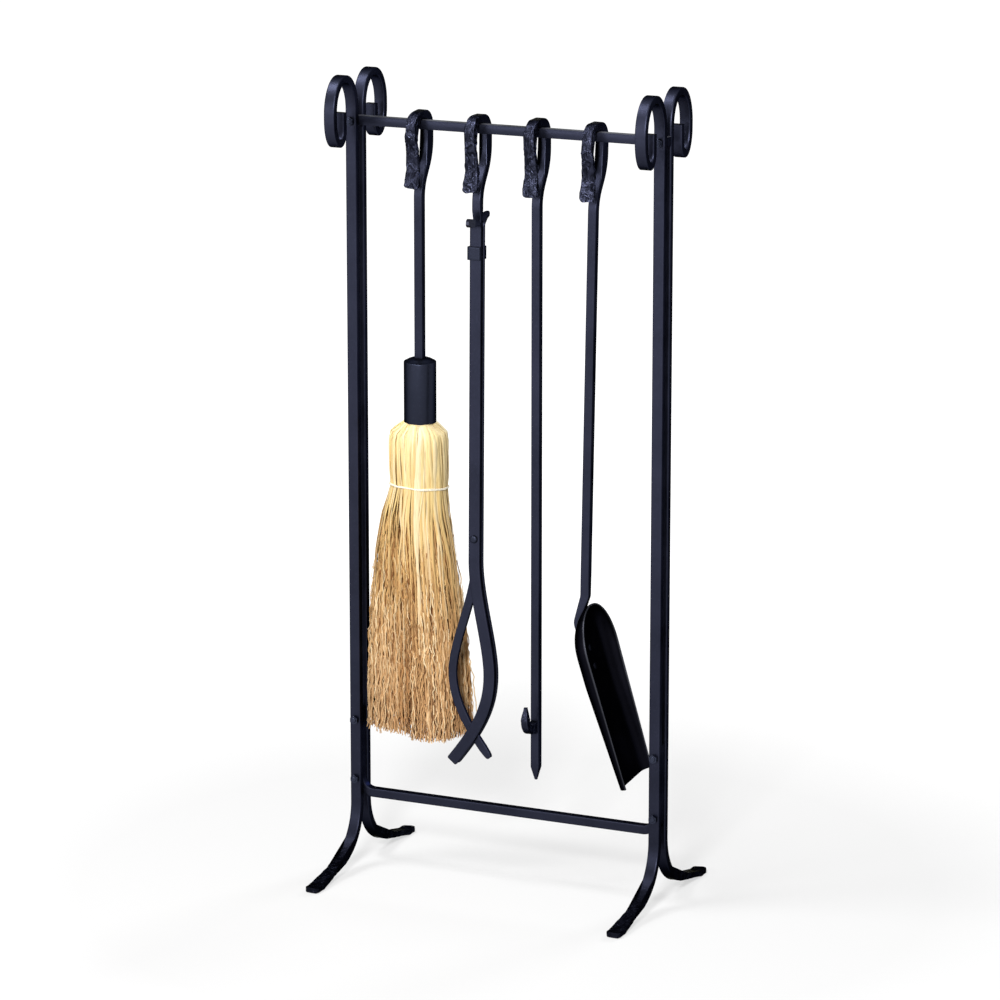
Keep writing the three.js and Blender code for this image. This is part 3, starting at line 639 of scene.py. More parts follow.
def hammer_dents_shade_and_glints(shader, spot, color, normal, light, dark, painted_light):
    """Folds with painted shade in their hollows and painted highlights on their crests, plus a
    real bump, where the `hammered` attribute says.
    """
    hammered = shader.node("ShaderNodeAttribute", {"attribute_name": "hammered"}, {}, 2)
    slanted = shader.place((1.0, 1.0, 0.62), (0.5, 0.35, 0.6))
    inputs = {"Vector": slanted, "Scale": 125, "Detail": 2.0, "Distortion": 2.4}
    folds = shader.node("ShaderNodeTexNoise", {}, inputs)
    ridges = (folds - 0.5).math("ABSOLUTE")
    broken = shader.noise(spot, 150, 1, 0.5)
    crest = shader.spread(ridges, 0.055, 0.012) * shader.spread(broken, 0.44, 0.58)
    pit_shade = shader.spread(folds, 0.56, 0.4) * hammered
    # Painted shade in the hollows.
    color = shader.mix(pit_shade * 0.85, color, tuple(0.22 * c for c in dark))
    # Painted highlights on the crests.
    color = shader.mix(hammered * crest * painted_light, color, tuple(3.8 * c for c in light))
    relief = folds * 1.5 + crest * 0.35 + shader.noise(spot, 90, 1, 0.5) * 1.5
    return color, shader.bump(relief * hammered, 1.6 * MM, 1.0, normal)


def black_iron(name, light, dark, gloss, grain, painted_light=0.0):
    """Blue-black scale on iron, in patches of two tones.

    `gloss` is its roughness and `grain` the depth of its fine texture in millimetres. The last
    number is how bright the painted highlights on the hammered crests are; above 0 it also adds
    painted shade in the hollows and towards the floor, and the painted highlights in bare grey.
    """
    shader = Shader(name)
    spot = shader.place()
    clouds = shader.noise(spot, 16, 3, 0.6)
    specks = shader.noise(spot, 420, 2, 0.6)
    patchy = shader.spread(clouds, 0.3, 0.7)
    color = shader.mix(patchy, dark, light)
    dust = shader.spread(specks, 0.56, 0.74, 0, 0.25)
    color = shader.mix(dust, color, tuple(1.6 * c for c in light))
    height = shader.noise(spot, 700, 2, 0.5) + shader.cells(spot, 260) * 0.7
    normal = shader.bump(height, grain * MM, 0.6)
    if painted_light:
        color, normal = hammer_dents_shade_and_glints(shader, spot, color, normal, light, dark, painted_light)
        color = shade_towards_floor(shader, color, spot, dark)
        color = bare_grey_highlight(shader, color, clouds)
    rough = shader.spread(clouds + specks * 0.3, 0.35, 0.85, gloss - 0.06, gloss + 0.1)
    return shader.finish(
        Base_Color=color,
        Metallic=1.0,
        Roughness=rough,
        Normal=normal,
        Specular_Tint=EDGE_TINT,
    )


# The bare iron on these three is a painted highlight.
print("Bare iron shows on", "the top rail, the pan's rim and the front horn")

# %% Six shades of black
# The sheet and its rivets are darker than the rest, as painted shade for the inside of the pan.
BLACKS = {
    "blue_black_iron": (tone(42, 44, 58), tone(36, 38, 50), 0.36, 0.08, 0.9),
    "black_hardware": (tone(42, 45, 58), tone(34, 36, 47), 0.38, 0.06),
    "black_bolts": (tone(56, 60, 76), tone(44, 47, 60), 0.34, 0.06),
    "black_sheet_and_shade": (tone(17, 17, 24), tone(12, 12, 17), 0.4, 0.03, 0.15),
    "black_rivets_and_shade": (tone(22, 23, 31), tone(16, 17, 23), 0.4, 0.04),
    "black_ferrule": (tone(42, 45, 58), tone(37, 40, 52), 0.36, 0.05),
}
finishes = [black_iron(name, *look) for name, look in BLACKS.items()]
iron, hardware, bolt_black, sheet_black_and_shade, rivet_black_and_shade, ferrule_black = finishes
print("Finishes:", ", ".join(finish.name for finish in finishes))

# %% [markdown]
# ## The stand
#
# Each post is a pair of flat bars. A bar starts as a foot that is flattened and splayed, runs
# straight up, and ends in a scroll. Four bars could be forged one by one, but all are the
# same, so one is forged and copied. The rear bar curls to the back and the front one is
# turned half round.

# %% Sizes of the stand
STAND_HEIGHT = 850
POST_SPACING = 343
POST_BAR_WIDTH, POST_BAR_THICK = 11.5, 8
RAIL_STOCK = 9.5
TOP_RAIL_Z, BOTTOM_RAIL_Z = 799.8, 79.8
BAR_Y = (RAIL_STOCK + POST_BAR_THICK) / 2
ARCH_REACH, ARCH_HEIGHT, ARCH_DROP = 58, 34, 6
SPRING_Z = STAND_HEIGHT - POST_BAR_THICK / 2 - ARCH_HEIGHT
FOOT_REACH, TOE_FLAT, TOE_THICK = 119, 15, 6
TOE_WIDTH, TOE_TIP_WIDTH, TOE_ROUND, FOOT_END = 16, 13, 3, 53
CURL_REACH, CURL_DROP = 13.5, 25
EYE_REACH, EYE_DROP, TIP_RISE = 8.5, 12, 19
SCROLL_LENGTH, FOOT_LENGTH, FINE_STEP = 200, 150, 1.7
DENT = 0.3
print("The stand is", STAND_HEIGHT, "mm high and its posts are", POST_SPACING, "mm apart")

# %% One upright, from its toe to the tip of its scroll
arch_half = (ARCH_REACH - BAR_Y) / 2
belly = (ARCH_REACH - CURL_REACH, SPRING_Z - ARCH_DROP)
tail = (belly[0] - EYE_REACH, belly[1] - CURL_DROP + EYE_DROP)
upright_path = joined(
    rounded(
        [
            (FOOT_REACH - DENT, TOE_THICK / 2, 0),
            (FOOT_REACH - TOE_FLAT, TOE_THICK / 2, 30),
            (BAR_Y, 24, 58),
            (BAR_Y, SPRING_Z, 0),
        ]
    ),
    arc((BAR_Y + arch_half, SPRING_Z), (-arch_half, 0), (0, ARCH_HEIGHT), math.pi),
    straight((ARCH_REACH, SPRING_Z), (ARCH_REACH, belly[1])),
    arc(belly, (CURL_REACH, 0), (0, -CURL_DROP), math.pi / 2),
    arc((belly[0], tail[1]), (0, -EYE_DROP), (-EYE_REACH, 0), math.pi / 2),
    straight(tail, (tail[0], tail[1] + TIP_RISE)),
)
upright_length = length_of(upright_path)
scroll_start = upright_length - SCROLL_LENGTH
upright = forge(
    "upright",
    [
        (0, TOE_TIP_WIDTH, TOE_THICK),
        (TOE_ROUND, TOE_WIDTH, TOE_THICK),
        (TOE_FLAT, TOE_WIDTH, TOE_THICK),
        (FOOT_END, POST_BAR_WIDTH, POST_BAR_THICK),
        (upright_length, POST_BAR_WIDTH, POST_BAR_THICK),
    ],
    fine=[(0, FOOT_LENGTH, FINE_STEP), (scroll_start, upright_length, FINE_STEP)],
)
hammer(upright, 0, 60, 0.5, 40)
bend(upright, upright_path)
upright_faces = len(upright.data.polygons)
print("An upright is", round(upright_length), "mm of bar, with", upright_faces, "faces")

# %% Four of them
for hand, x in (("left", -POST_SPACING / 2), ("right", POST_SPACING / 2)):
    for place, turn in (("rear", 0), ("front", math.pi)):
        matrix = (
            Matrix.Translation((x * MM, 0, 0)) @ Matrix.Rotation(turn, 4, "Z") @ SIDE_PLANE
        )
        bar = copy_of(upright, f"upright_{hand}_{place}")
        finish_piece(bar, "stand", [f"{hand}_{place}_upright"], iron, matrix)
        print(bar.name, "is in place")
bpy.data.objects.remove(upright)

# %% [markdown]
# Both rails are square bar. The top one is straight and ends flush with the posts. The bottom
# one could be a straight bar with welded legs, but a smith turns its ends up, so it is one
# wide U whose ends stand between the bars of each post.

# %% Rails
RAIL_LEG, RAIL_BEND = 93, 16
CORNER_START, CORNER_END = 70, 110
rail_end = (POST_SPACING + POST_BAR_WIDTH) / 2
top_rail = forge(
    "rail_top",
    [(-rail_end, RAIL_STOCK, RAIL_STOCK), (rail_end, RAIL_STOCK, RAIL_STOCK)],
)
# A painted highlight along the top face of the rail.
set_highlight(top_rail, lambda v: float(v.co.z > (RAIL_STOCK / 2 - 0.1) * MM))
finish_piece(
    top_rail, "stand", ["top_rail"], iron, Matrix.Translation((0, 0, TOP_RAIL_Z * MM))
)
leg_x = POST_SPACING / 2
bottom_path = rounded(
    [
        (-leg_x, BOTTOM_RAIL_Z + RAIL_LEG, 0),
        (-leg_x, BOTTOM_RAIL_Z, RAIL_BEND),
        (leg_x, BOTTOM_RAIL_Z, RAIL_BEND),
        (leg_x, BOTTOM_RAIL_Z + RAIL_LEG, 0),
    ]
)
bottom_length = length_of(bottom_path)
bottom_rail = forge(
    "rail_bottom",
    [(0, RAIL_STOCK, RAIL_STOCK), (bottom_length, RAIL_STOCK, RAIL_STOCK)],
    fine=[
        (CORNER_START, CORNER_END, FINE_STEP),
        (bottom_length - CORNER_END, bottom_length - CORNER_START, FINE_STEP),
    ],
)
bend(bottom_rail, bottom_path)
upright_plane = Matrix.Rotation(math.radians(90), 4, "X")
finish_piece(bottom_rail, "stand", ["bottom_rail"], iron, upright_plane)
print("Rails:", round(2 * rail_end, 1), "and", round(bottom_length, 1), "mm long")

# %% [markdown]
# Through bolts hold every rail between the two bars, with their heads behind and their nuts
# in front. A bolt could be put together from a ball and two rods. Here it is one closed piece:
# a disc whose rim is bevelled into a dome, and whose other face is inset and extruded into the
# shank, with a few ridges for the thread that stands out of the nut.

# %% Discs and domes
def disc(name, radius, depth, place, sides=32, axis="Y"):
    """A cylinder about one axis, with its place given in millimetres."""
    turn = {"X": (0, math.pi / 2, 0), "Y": (math.pi / 2, 0, 0), "Z": (0, 0, 0)}[axis]
    bpy.ops.object.select_all(action="DESELECT")
    bpy.ops.mesh.primitive_cylinder_add(
        vertices=sides,
        radius=radius * MM,
        depth=depth * MM,
        location=tuple(value * MM for value in place),
        rotation=turn,
    )
    bpy.context.object.name = name
    return settle(bpy.context.object)


def dome(piece, axis, way, height):
    """Rounds the rim of one end of a disc, in edit mode."""
    ends = [vertex.co[axis] * way for vertex in piece.data.vertices]
    limit = max(ends) - 1e-6
    rim = lambda e: all(v.co[axis] * way > limit for v in e.verts)
    pick(piece, "edges", rim)
    bpy.ops.mesh.bevel(offset=height * MM, segments=5, profile=0.5, affect="EDGES")


POST_DEPTH = RAIL_STOCK + 2 * POST_BAR_THICK
print("Two bars and a rail are", POST_DEPTH, "mm deep at a bolt")

# %% One bolt
BOLT_RADIUS, HEAD_RADIUS, HEAD_THICK, HEAD_DOME = 2.5, 4.5, 3, 2.7
SMOOTH_END, THREAD_LENGTH, RIDGES, RIDGE_DEPTH = 2.5, 3.0, 8, 0.86

bolt = disc("bolt", HEAD_RADIUS, HEAD_THICK, (0, -HEAD_THICK / 2, 0))
bpy.ops.object.mode_set(mode="EDIT")
dome(bolt, 1, -1, HEAD_DOME)
pick(bolt, "faces", lambda f: f.normal.y > 0.9)
bpy.ops.mesh.inset(thickness=(HEAD_RADIUS - BOLT_RADIUS) * MM)
bpy.ops.mesh.extrude_region_move(
    TRANSFORM_OT_translate={"value": (0, (POST_DEPTH + SMOOTH_END) * MM, 0)}
)
for step in range(RIDGES):
    size = RIDGE_DEPTH if step % 2 else 1 / RIDGE_DEPTH
    bpy.ops.mesh.extrude_region_move(
        TRANSFORM_OT_translate={"value": (0, THREAD_LENGTH / RIDGES * MM, 0)}
    )
    if step:
        bpy.ops.transform.resize(value=(size, 1, size))
bpy.ops.object.mode_set(mode="OBJECT")
print("A bolt has", len(bolt.data.polygons), "faces")

# %% [markdown]
# A nut's corners are turned off at both ends. Bevelling a six-sided prism would cut flat
# facets there, so the prism is intersected with a bevelled disc, which leaves the real curved
# edges, and a second disc takes out the bore.

# %% One nut
NUT_WIDTH, NUT_THICK = 8, 4
CHAMFER_RADIUS, CHAMFER_THICK, CHAMFER = 4.75, 4.4, 0.75
BORE_RADIUS, BORE_LENGTH = 2.75, 9

middle = (0, NUT_THICK / 2, 0)
nut = disc("nut", NUT_WIDTH / math.sqrt(3), NUT_THICK, middle, 6)
chamfer = disc("nut_chamfer", CHAMFER_RADIUS, CHAMFER_THICK, middle, 48)
bpy.ops.object.mode_set(mode="EDIT")
pick(chamfer, "edges", lambda e: abs(e.verts[0].co.y - e.verts[1].co.y) < HAIR)
bpy.ops.mesh.bevel(offset=CHAMFER * MM, segments=1, affect="EDGES")
bpy.ops.object.mode_set(mode="OBJECT")
bore = disc("nut_bore", BORE_RADIUS, BORE_LENGTH, middle)
apply(nut, "BOOLEAN", operation="INTERSECT", object=chamfer)
apply(nut, "BOOLEAN", operation="DIFFERENCE", object=bore)
bpy.data.objects.remove(chamfer)
bpy.data.objects.remove(bore)
print("A nut has", len(nut.data.polygons), "faces")

# %% Six of each
BOLT_HEIGHTS = {"lower": 96, "upper": 161, "rail": TOP_RAIL_Z}
for hand, x in (("left", -leg_x), ("right", leg_x)):
    for place, z in BOLT_HEIGHTS.items():
        for part, source, way in (("bolt", bolt, 1), ("nut", nut, -1)):
            copy = copy_of(source, f"{part}_{hand}_{place}")
            turn = Matrix.Rotation(math.pi, 4, "Z")
            matrix = Matrix.Translation((x * MM, way * POST_DEPTH / 2 * MM, z * MM)) @ turn
            node = f"{hand}_{place}_{part}"
            finish_piece(copy, "stand", [node], bolt_black, matrix, 35)
        print("Bolted", hand, place)
bpy.data.objects.remove(bolt)
bpy.data.objects.remove(nut)

# %% [markdown]
# ## The hooked handles
#
# All four tools have the same handle. Its tail is hammered thin and leans forward, the bar
# passes over the rail, bows out behind it and comes back to the line of the shaft. The tail
# shows the hammer best, so it is cut into the shortest steps. One handle could be copied four
# times, but then every tail would carry the same dents, so each tool is forged anew.
#
# Every tool is made in its own frame, with the middle of the rail at its origin. `hang` gives
# the matrix that puts it on the rail, with the small lean of a tool that hangs by its hook.

# %% Sizes of the hooks
TOOL_STOCK = 9
SEAT_GAP = 0.3
HOOK_TAIL, HOOK_WAIST, HOOK_BOW = -18.5, -13.4, 20.5
SEAT_Z = RAIL_STOCK / 2 + SEAT_GAP + TOOL_STOCK / 2
HOOK = [
    (HOOK_TAIL, -65, 0),
    (HOOK_WAIST, -40, 34),
    (HOOK_TAIL, -14, 34),
    (HOOK_TAIL, SEAT_Z, 13),
    (HOOK_BOW, SEAT_Z, 15),
    (HOOK_BOW, -32.8, 48),
    (0, -64.3, 45),
]
TAIL_END, HOOK_END, HAMMERED = 104, 215, 62
TAIL_ROWS = [
    (0, 10, 4),
    (1.2, 14.4, 4.8),
    (3.5, 16.8, 5.4),
    (9, 17, 5.6),
    (25, 15, 5.6),
    (51, 12.8, 7),
    (TAIL_END, TOOL_STOCK, TOOL_STOCK),
]
TAIL_STEP, HOOK_STEP = 1.25, 2.2
print("A hook takes", round(length_of(rounded([*HOOK, (0, -100, 0)])) - 100), "mm above its drop")

# %% Four places on the rail
def hang(x, back, right):
    """Where a tool hangs, and how many degrees its foot swings back and to the right."""
    return (
        Matrix.Translation((x * MM, 0, TOP_RAIL_Z * MM))
        @ Matrix.Rotation(math.radians(back), 4, "X")
        @ Matrix.Rotation(math.radians(-right), 4, "Y")
    )


HANGS = {
    "broom": hang(-99.4, 2, -1),
    "tongs": hang(-33, -1.6, 0.38),
    "poker": hang(33, 0, 0),
    "shovel": hang(96.6, 0, -0.97),
}
print("On the rail hang:", ", ".join(HANGS))

# %% A hooked handle
def shifted(path, distance):
    return [point + Vector((distance, 0)) for point in path]


def handle(name, drop, rows, fine=(), side_path=None, twist=None):
    """A hooked bar down to `drop` below the rail.

    Rows, fine stretches and the sideways path are measured down the shaft from the rail.
    """
    path = rounded([*HOOK, (0, -drop, 0)])
    before = length_of(path) - drop
    rows = [(before + row[0], *row[1:]) for row in rows]
    fine = [(before + low, before + high, step) for low, high, step in fine]
    hook_fine = [(0, TAIL_END, TAIL_STEP), (TAIL_END, HOOK_END, HOOK_STEP)]
    bar = forge(name, [*TAIL_ROWS, *rows], fine=[*hook_fine, *fine])
    hammer(bar, 0, HAMMERED, 1.0, 30)
    if side_path:
        side_path = shifted(side_path, before)
        bend_sideways(bar, joined(straight((0, 0), side_path[0]), side_path))
    if twist:
        twist(bar, before)
    return bend(bar, path)


print("A handle is forged, hammered, bent sideways if need be, twisted, and bent last")

# %% [markdown]
# ### The poker
#
# The plainest tool comes first: one square bar drawn to a blunt point, with a barb welded to
# its front that curls up like a thorn. The barb could be extruded from the shaft's side. It is
# a bar of its own here, as it is for the smith, so it keeps its taper round the bend.

# %% Poker
POKER_LENGTH, POINT_LENGTH, POINT_WIDTH = 682, 14, 2.6
shaft = handle(
    "shaft_of_poker",
    POKER_LENGTH,
    [
        (POKER_LENGTH - POINT_LENGTH, TOOL_STOCK, TOOL_STOCK),
        (POKER_LENGTH, POINT_WIDTH, POINT_WIDTH),
    ],
)
finish_piece(shaft, "poker", ["poker_shaft"], iron, HANGS["poker"] @ SIDE_PLANE)

print("The poker's shaft has", len(shaft.data.polygons), "faces")

# %% Barb
BARB_DROP, BARB_REACH, BARB_BEND, BARB_TIP_DROP, BARB_TAPER = 624, 22, 13, 597, 14
barb_root = -TOOL_STOCK / 2 - SEAT_GAP
barb_path = rounded(
    [
        (barb_root, -BARB_DROP, 0),
        (barb_root - BARB_REACH, -BARB_DROP, BARB_BEND),
        (barb_root - BARB_REACH, -BARB_TIP_DROP, 0),
    ]
)
barb_length = length_of(barb_path)
bend_end = barb_length - BARB_TAPER
barb = forge(
    "barb_of_poker",
    [(0, 8, 14), (bend_end / 2, 8, 9), (bend_end, 8, 9), (barb_length, 4, 3.5)],
    fine=[(0, barb_length, TAIL_STEP)],
)
hammer(barb, 0, barb_length, 0.4, 2)
bend(barb, barb_path)
finish_piece(barb, "poker", ["poker_barb"], iron, HANGS["poker"] @ SIDE_PLANE)
print("The barb takes", round(barb_length, 1), "mm of bar")

# %% [markdown]
# ### The tongs
#
# A middle bar carries the hook and one jaw. Two thin arms straddle it and turn together on a
# rivet, and their upper ends flare into small horns where a thumb pulls them. A strap slides
# over all three. The jaws bow apart and meet again at their tips. They could be drawn as flat
# outlines and extruded, but the bars would then be as thick along the bow as across it, so
# they are bent sideways like the rest, before the hook is bent.

# %% Sizes of the tongs
PIVOT_DROP = 426.5
JAW_TOP, JAW_BELLY = 449.8, 571.8
JAW_UPPER_PULL, JAW_LOWER_PULL = 40, 34
CORE_WIDTH, CORE_THICK, ARM_WIDTH, ARM_THICK = 9, 4.6, 12.5, 3.2
CORE_TOP, CORE_TAPER = 93, 9
CORE_TIP, ARM_TIP = (17, 659.8), (-25, 666.8)
ARM_Y = CORE_THICK / 2 + SEAT_GAP + ARM_THICK / 2


def jaw(bow_by, tip, pull):
    """A jaw as (drop, sideways) points, from where it starts to bow down to its tip."""
    reach = math.copysign(1, bow_by)
    return joined(
        bow(
            (JAW_TOP, 0),
            (JAW_TOP + JAW_UPPER_PULL, 0),
            (JAW_BELLY - JAW_LOWER_PULL, bow_by),
            (JAW_BELLY, bow_by),
        ),
        bow(
            (JAW_BELLY, bow_by),
            (JAW_BELLY + JAW_LOWER_PULL, bow_by),
            (tip[1] - pull[1], tip[0] + reach * pull[0]),
            (tip[1], tip[0]),
        ),
    )


core_jaw = jaw(-25.9, CORE_TIP, (20, 24.7))
arm_jaw = jaw(17.7, ARM_TIP, (28, 35))
print("The jaws are", round(length_of(core_jaw)), "and", round(length_of(arm_jaw)), "mm long")

# %% Middle bar
core_length = JAW_TOP + length_of(core_jaw)
core = handle(
    "handle_of_tongs",
    CORE_TIP[1],
    [
        (CORE_TOP - CORE_TAPER, TOOL_STOCK, TOOL_STOCK),
        (CORE_TOP, CORE_WIDTH, CORE_THICK),
        (core_length - 13, CORE_WIDTH, CORE_THICK),
        (core_length - 5, 7.8, CORE_THICK),
        (core_length - 1.6, 6.4, CORE_THICK),
        (core_length, 4.4, CORE_THICK - 0.4),
    ],
    fine=[(JAW_TOP, core_length, 2.5)],
    side_path=core_jaw,
)
finish_piece(core, "tongs", ["tongs_handle"], iron, HANGS["tongs"] @ SIDE_PLANE)
print("The middle bar has", len(core.data.polygons), "faces")

# %% Two arms
HORN_DROP, HORN_REACH, HORN_BEND, HORN_LENGTH, HORN_HIGHLIGHT = 97, 25, 5, 19, 11
for place, front, rise in (("front", -1, 2.6), ("rear", 1, 8.0)):
    horn = rounded(
        [
            (front * HORN_REACH, rise - HORN_DROP, 0),
            (front * ARM_Y, -HORN_DROP, HORN_BEND),
            (front * ARM_Y, -ARM_TIP[1], 0),
        ]
    )
    before = length_of(horn) - ARM_TIP[1]
    arm_length = before + JAW_TOP + length_of(arm_jaw)
    arm = forge(
        f"arm_of_tongs_{place}",
        [
            (0, 3.4, 3 - 0.2 * front),
            (1.6, 5.2 + 0.6 * front, 4.6 - 1.4 * front),
            (5.5, 7.4 + front, 6.2 - 2.6 * front),
            (10, 8.2, 6 - 2 * front),
            (HORN_LENGTH, ARM_WIDTH, ARM_THICK),
            (arm_length - 1.6, ARM_WIDTH, ARM_THICK),
            (arm_length - 0.5, ARM_WIDTH - 0.8, ARM_THICK),
            (arm_length, ARM_WIDTH - 2.2, ARM_THICK - 0.3),
        ],
        fine=[(0, 30, TAIL_STEP), (before + JAW_TOP, arm_length, 2.5)],
        arris=0.6,
    )
    # A faint painted highlight near the tip of the front horn.
    set_highlight(arm, lambda v: 0.1 * (front < 0 and v.co.x < HORN_HIGHLIGHT * MM))
    side_path = shifted(arm_jaw, before)
    bend_sideways(arm, joined(straight((0, 0), side_path[0]), side_path))
    bend(arm, horn)
    node = f"tongs_{place}_arm"
    finish_piece(arm, "tongs_fork", [node], iron, HANGS["tongs"] @ SIDE_PLANE)
    print("The", place, "arm has", len(arm.data.polygons), "faces")

# %% [markdown]
# The clip is a strap with its mouth to the right. It is forged and bent like a bar, only with
# shorter steps, because its corners are tight.

# %% Clip
CLIP_HEIGHT, CLIP_THICK, CLIP_DROP, CLIP_BEND = 13.7, 2.2, 128, 1.8
strap_x = -ARM_WIDTH / 2 - SEAT_GAP - CLIP_THICK / 2
strap_y = ARM_Y + ARM_THICK / 2 + SEAT_GAP + CLIP_THICK / 2
clip_path = rounded(
    [
        (ARM_WIDTH / 2, -strap_y, 0),
        (strap_x, -strap_y, CLIP_BEND),
        (strap_x, strap_y, CLIP_BEND),
        (ARM_WIDTH / 2, strap_y, 0),
    ]
)
clip_length = length_of(clip_path)
clip = forge(
    "clip_of_tongs",
    [(0, CLIP_HEIGHT, CLIP_THICK), (clip_length, CLIP_HEIGHT, CLIP_THICK)],
    fine=[(0, clip_length, 1.0)],
    arris=0.4,
)
bend(clip, clip_path)
clip_place = HANGS["tongs"] @ Matrix.Translation((0, 0, -CLIP_DROP * MM))
finish_piece(clip, "tongs_fork", ["tongs_clip"], hardware, clip_place)
print("The clip takes", round(clip_length, 1), "mm of strap")

# %% [markdown]
# A rivet is one disc as long as the whole rivet. Both rims are bevelled into domes, the middle
# is cut free of the heads, and its rings are scaled in to the shank. Three discs would be
# easier, but they would be three shells instead of one.

# %% Rivets
RIVET_RADIUS, RIVET_HEAD_RADIUS, RIVET_HEAD, RIVET_DOME = 2.5, 4.2, 2.2, 2.1
NECK = 0.02


def rivet(name, grip, axis):
    """A rivet about one axis, with a dome beyond each of two faces that are `grip` apart."""
    half = grip / 2 + SEAT_GAP
    piece = disc(name, RIVET_HEAD_RADIUS, 2 * (half + RIVET_HEAD), (0, 0, 0), 32, axis)
    index = "XYZ".index(axis)
    bpy.ops.object.mode_set(mode="EDIT")
    for way in (-1, 1):
        dome(piece, index, way, RIVET_DOME)
    plane = Vector([1 if i == index else 0 for i in range(3)])
    for place in (-half, half, NECK - half, half - NECK):
        bpy.ops.mesh.select_all(action="SELECT")
        bpy.ops.mesh.bisect(plane_co=plane * place * MM, plane_no=plane)
    pick(piece, "verts", lambda v: abs(v.co[index]) < (half - NECK / 2) * MM)
    narrow = [RIVET_RADIUS / RIVET_HEAD_RADIUS] * 3
    narrow[index] = 1
    bpy.ops.transform.resize(value=narrow, center_override=(0, 0, 0))
    bpy.ops.object.mode_set(mode="OBJECT")
    return piece


pivot = rivet("rivet_of_tongs", 2 * (ARM_Y + ARM_THICK / 2), "Y")
pivot_place = HANGS["tongs"] @ Matrix.Translation((0, 0, -PIVOT_DROP * MM))
finish_piece(pivot, "tongs", ["tongs_rivet"], hardware, pivot_place, 50)
print("The tongs open on a rivet", PIVOT_DROP, "mm below the rail")

# %% [markdown]
# ### The shovel
#
# Its shaft is cranked behind the pan and flattened into a tongue with two rivets. The shaft is
# also turned a little about itself, because the pan faces slightly forward. That twist comes
# after the sideways bend and before the hook, while the shaft still lies along one axis.

# %% Sizes of the shovel
NECK_DROP = 478
PAN_TOP = (5.7, 486.4)
PAN_LEAN, PAN_TURN = math.radians(17.4), math.radians(5)
PAN_DEPTH, PAN_WALL = (16, 10), 1.6
TONGUE_THICK, TONGUE_WIDTH = 5, 14
TONGUE_TOP, TONGUE_END = 15, 75
CRANK_BEND, TONGUE_TAPER, TWIST_LENGTH, STRAIGHT_DROP = 12, 12, 24, 600
tongue_out = -PAN_DEPTH[0] - SEAT_GAP - TONGUE_THICK / 2


def behind_pan(along, out):
    """(drop, sideways) of a point beside the pan, before the pan is turned about the shaft."""
    drop = PAN_TOP[1] + along * math.cos(PAN_LEAN) - out * math.sin(PAN_LEAN)
    return drop, PAN_TOP[0] + along * math.sin(PAN_LEAN) + out * math.cos(PAN_LEAN)


neck_path = rounded(
    [
        (0, 0, 0),
        (NECK_DROP, 0, CRANK_BEND),
        (*behind_pan(TONGUE_TOP, tongue_out), CRANK_BEND),
        (*behind_pan(TONGUE_END, tongue_out), 0),
    ]
)
neck_length = length_of(neck_path)
print("The shaft and its tongue take", round(neck_length, 1), "mm of bar below the rail")

# %% Shovel handle
crank = (Vector(behind_pan(TONGUE_TOP, tongue_out)) - Vector((NECK_DROP, 0))).length
tongue = neck_length - (TONGUE_END - TONGUE_TOP)
neck = tongue - crank


def twist_to_pan(bar, before):
    """Turns the bar about itself, more and more along the stretch above the neck."""
    for vertex in bar.data.vertices:
        share = (vertex.co.x / MM - before - neck + TWIST_LENGTH) / TWIST_LENGTH
        turn = Matrix.Rotation(-PAN_TURN * min(1, max(0, share)), 3, "X")
        vertex.co = turn @ vertex.co


shovel_bar = handle(
    "handle_of_shovel",
    STRAIGHT_DROP,
    [
        (neck - TWIST_LENGTH, TOOL_STOCK, TOOL_STOCK),
        (neck, TOOL_STOCK, TOOL_STOCK),
        (tongue + TONGUE_TAPER, TONGUE_THICK, TONGUE_WIDTH),
        (neck_length, TONGUE_THICK, TONGUE_WIDTH),
    ],
    fine=[(neck - TWIST_LENGTH, neck_length, FINE_STEP)],
    side_path=neck_path,
    twist=twist_to_pan,
)
shovel_matrix = HANGS["shovel"] @ SIDE_PLANE
finish_piece(shovel_bar, "shovel", ["shovel_handle"], iron, shovel_matrix)
print("The shovel's handle has", len(shovel_bar.data.polygons), "faces")

# %% [markdown]
# The pan is one sheet, rounded at the top and open at the lip. It could be pulled out of a
# plane with many extrusions, but its two curves run into each other, so a grid is laid on a
# formula instead: its columns go round the section and its rows go down the pan. A Solidify
# modifier gives the sheet its thickness and a Bevel rounds the rim.

# %% The pan's skin
PAN_LENGTH, PAN_HALF_WIDTH, PAN_CORNER = 189.5, (50, 44), 15
ROUND_END, ROUND_BACK, FLAT_END = 50, 40, 78
CORNER_SHARE = 0.6


def rounded_end(distance, length):
    short = max(0.0, 1 - distance / length)
    return math.sqrt(1 - short * short)


def pan_point(side, along):
    """A point of the outer skin, for `side` from -1 to 1 and a distance from the rim's top."""
    taper = max(0.0, (along - FLAT_END) / (PAN_LENGTH - FLAT_END))
    width = PAN_HALF_WIDTH[0] + (PAN_HALF_WIDTH[1] - PAN_HALF_WIDTH[0]) * along / PAN_LENGTH
    depth = PAN_DEPTH[0] + (PAN_DEPTH[1] - PAN_DEPTH[0]) * taper
    width *= rounded_end(along, ROUND_END)
    depth *= rounded_end(along, ROUND_BACK)
    corner = min(PAN_CORNER, CORNER_SHARE * width)
    part = 1 - abs(side)
    turn = min(1, part / CORNER_SHARE) * math.pi / 2
    flat = max(0, (part - CORNER_SHARE) / (1 - CORNER_SHARE))
    across = (width - corner) * (1 - flat) + corner * math.cos(turn)
    return -depth * math.sin(turn), math.copysign(across, side), -along


lip = [round(value, 1) for value in pan_point(0, PAN_LENGTH)]
print("The middle of the lip, from the rim's top:", lip)

# %% Pan
ACROSS, ALONG = 40, 60
TOP_CROWDING, FIRST_ROW = 1.6, 0.02

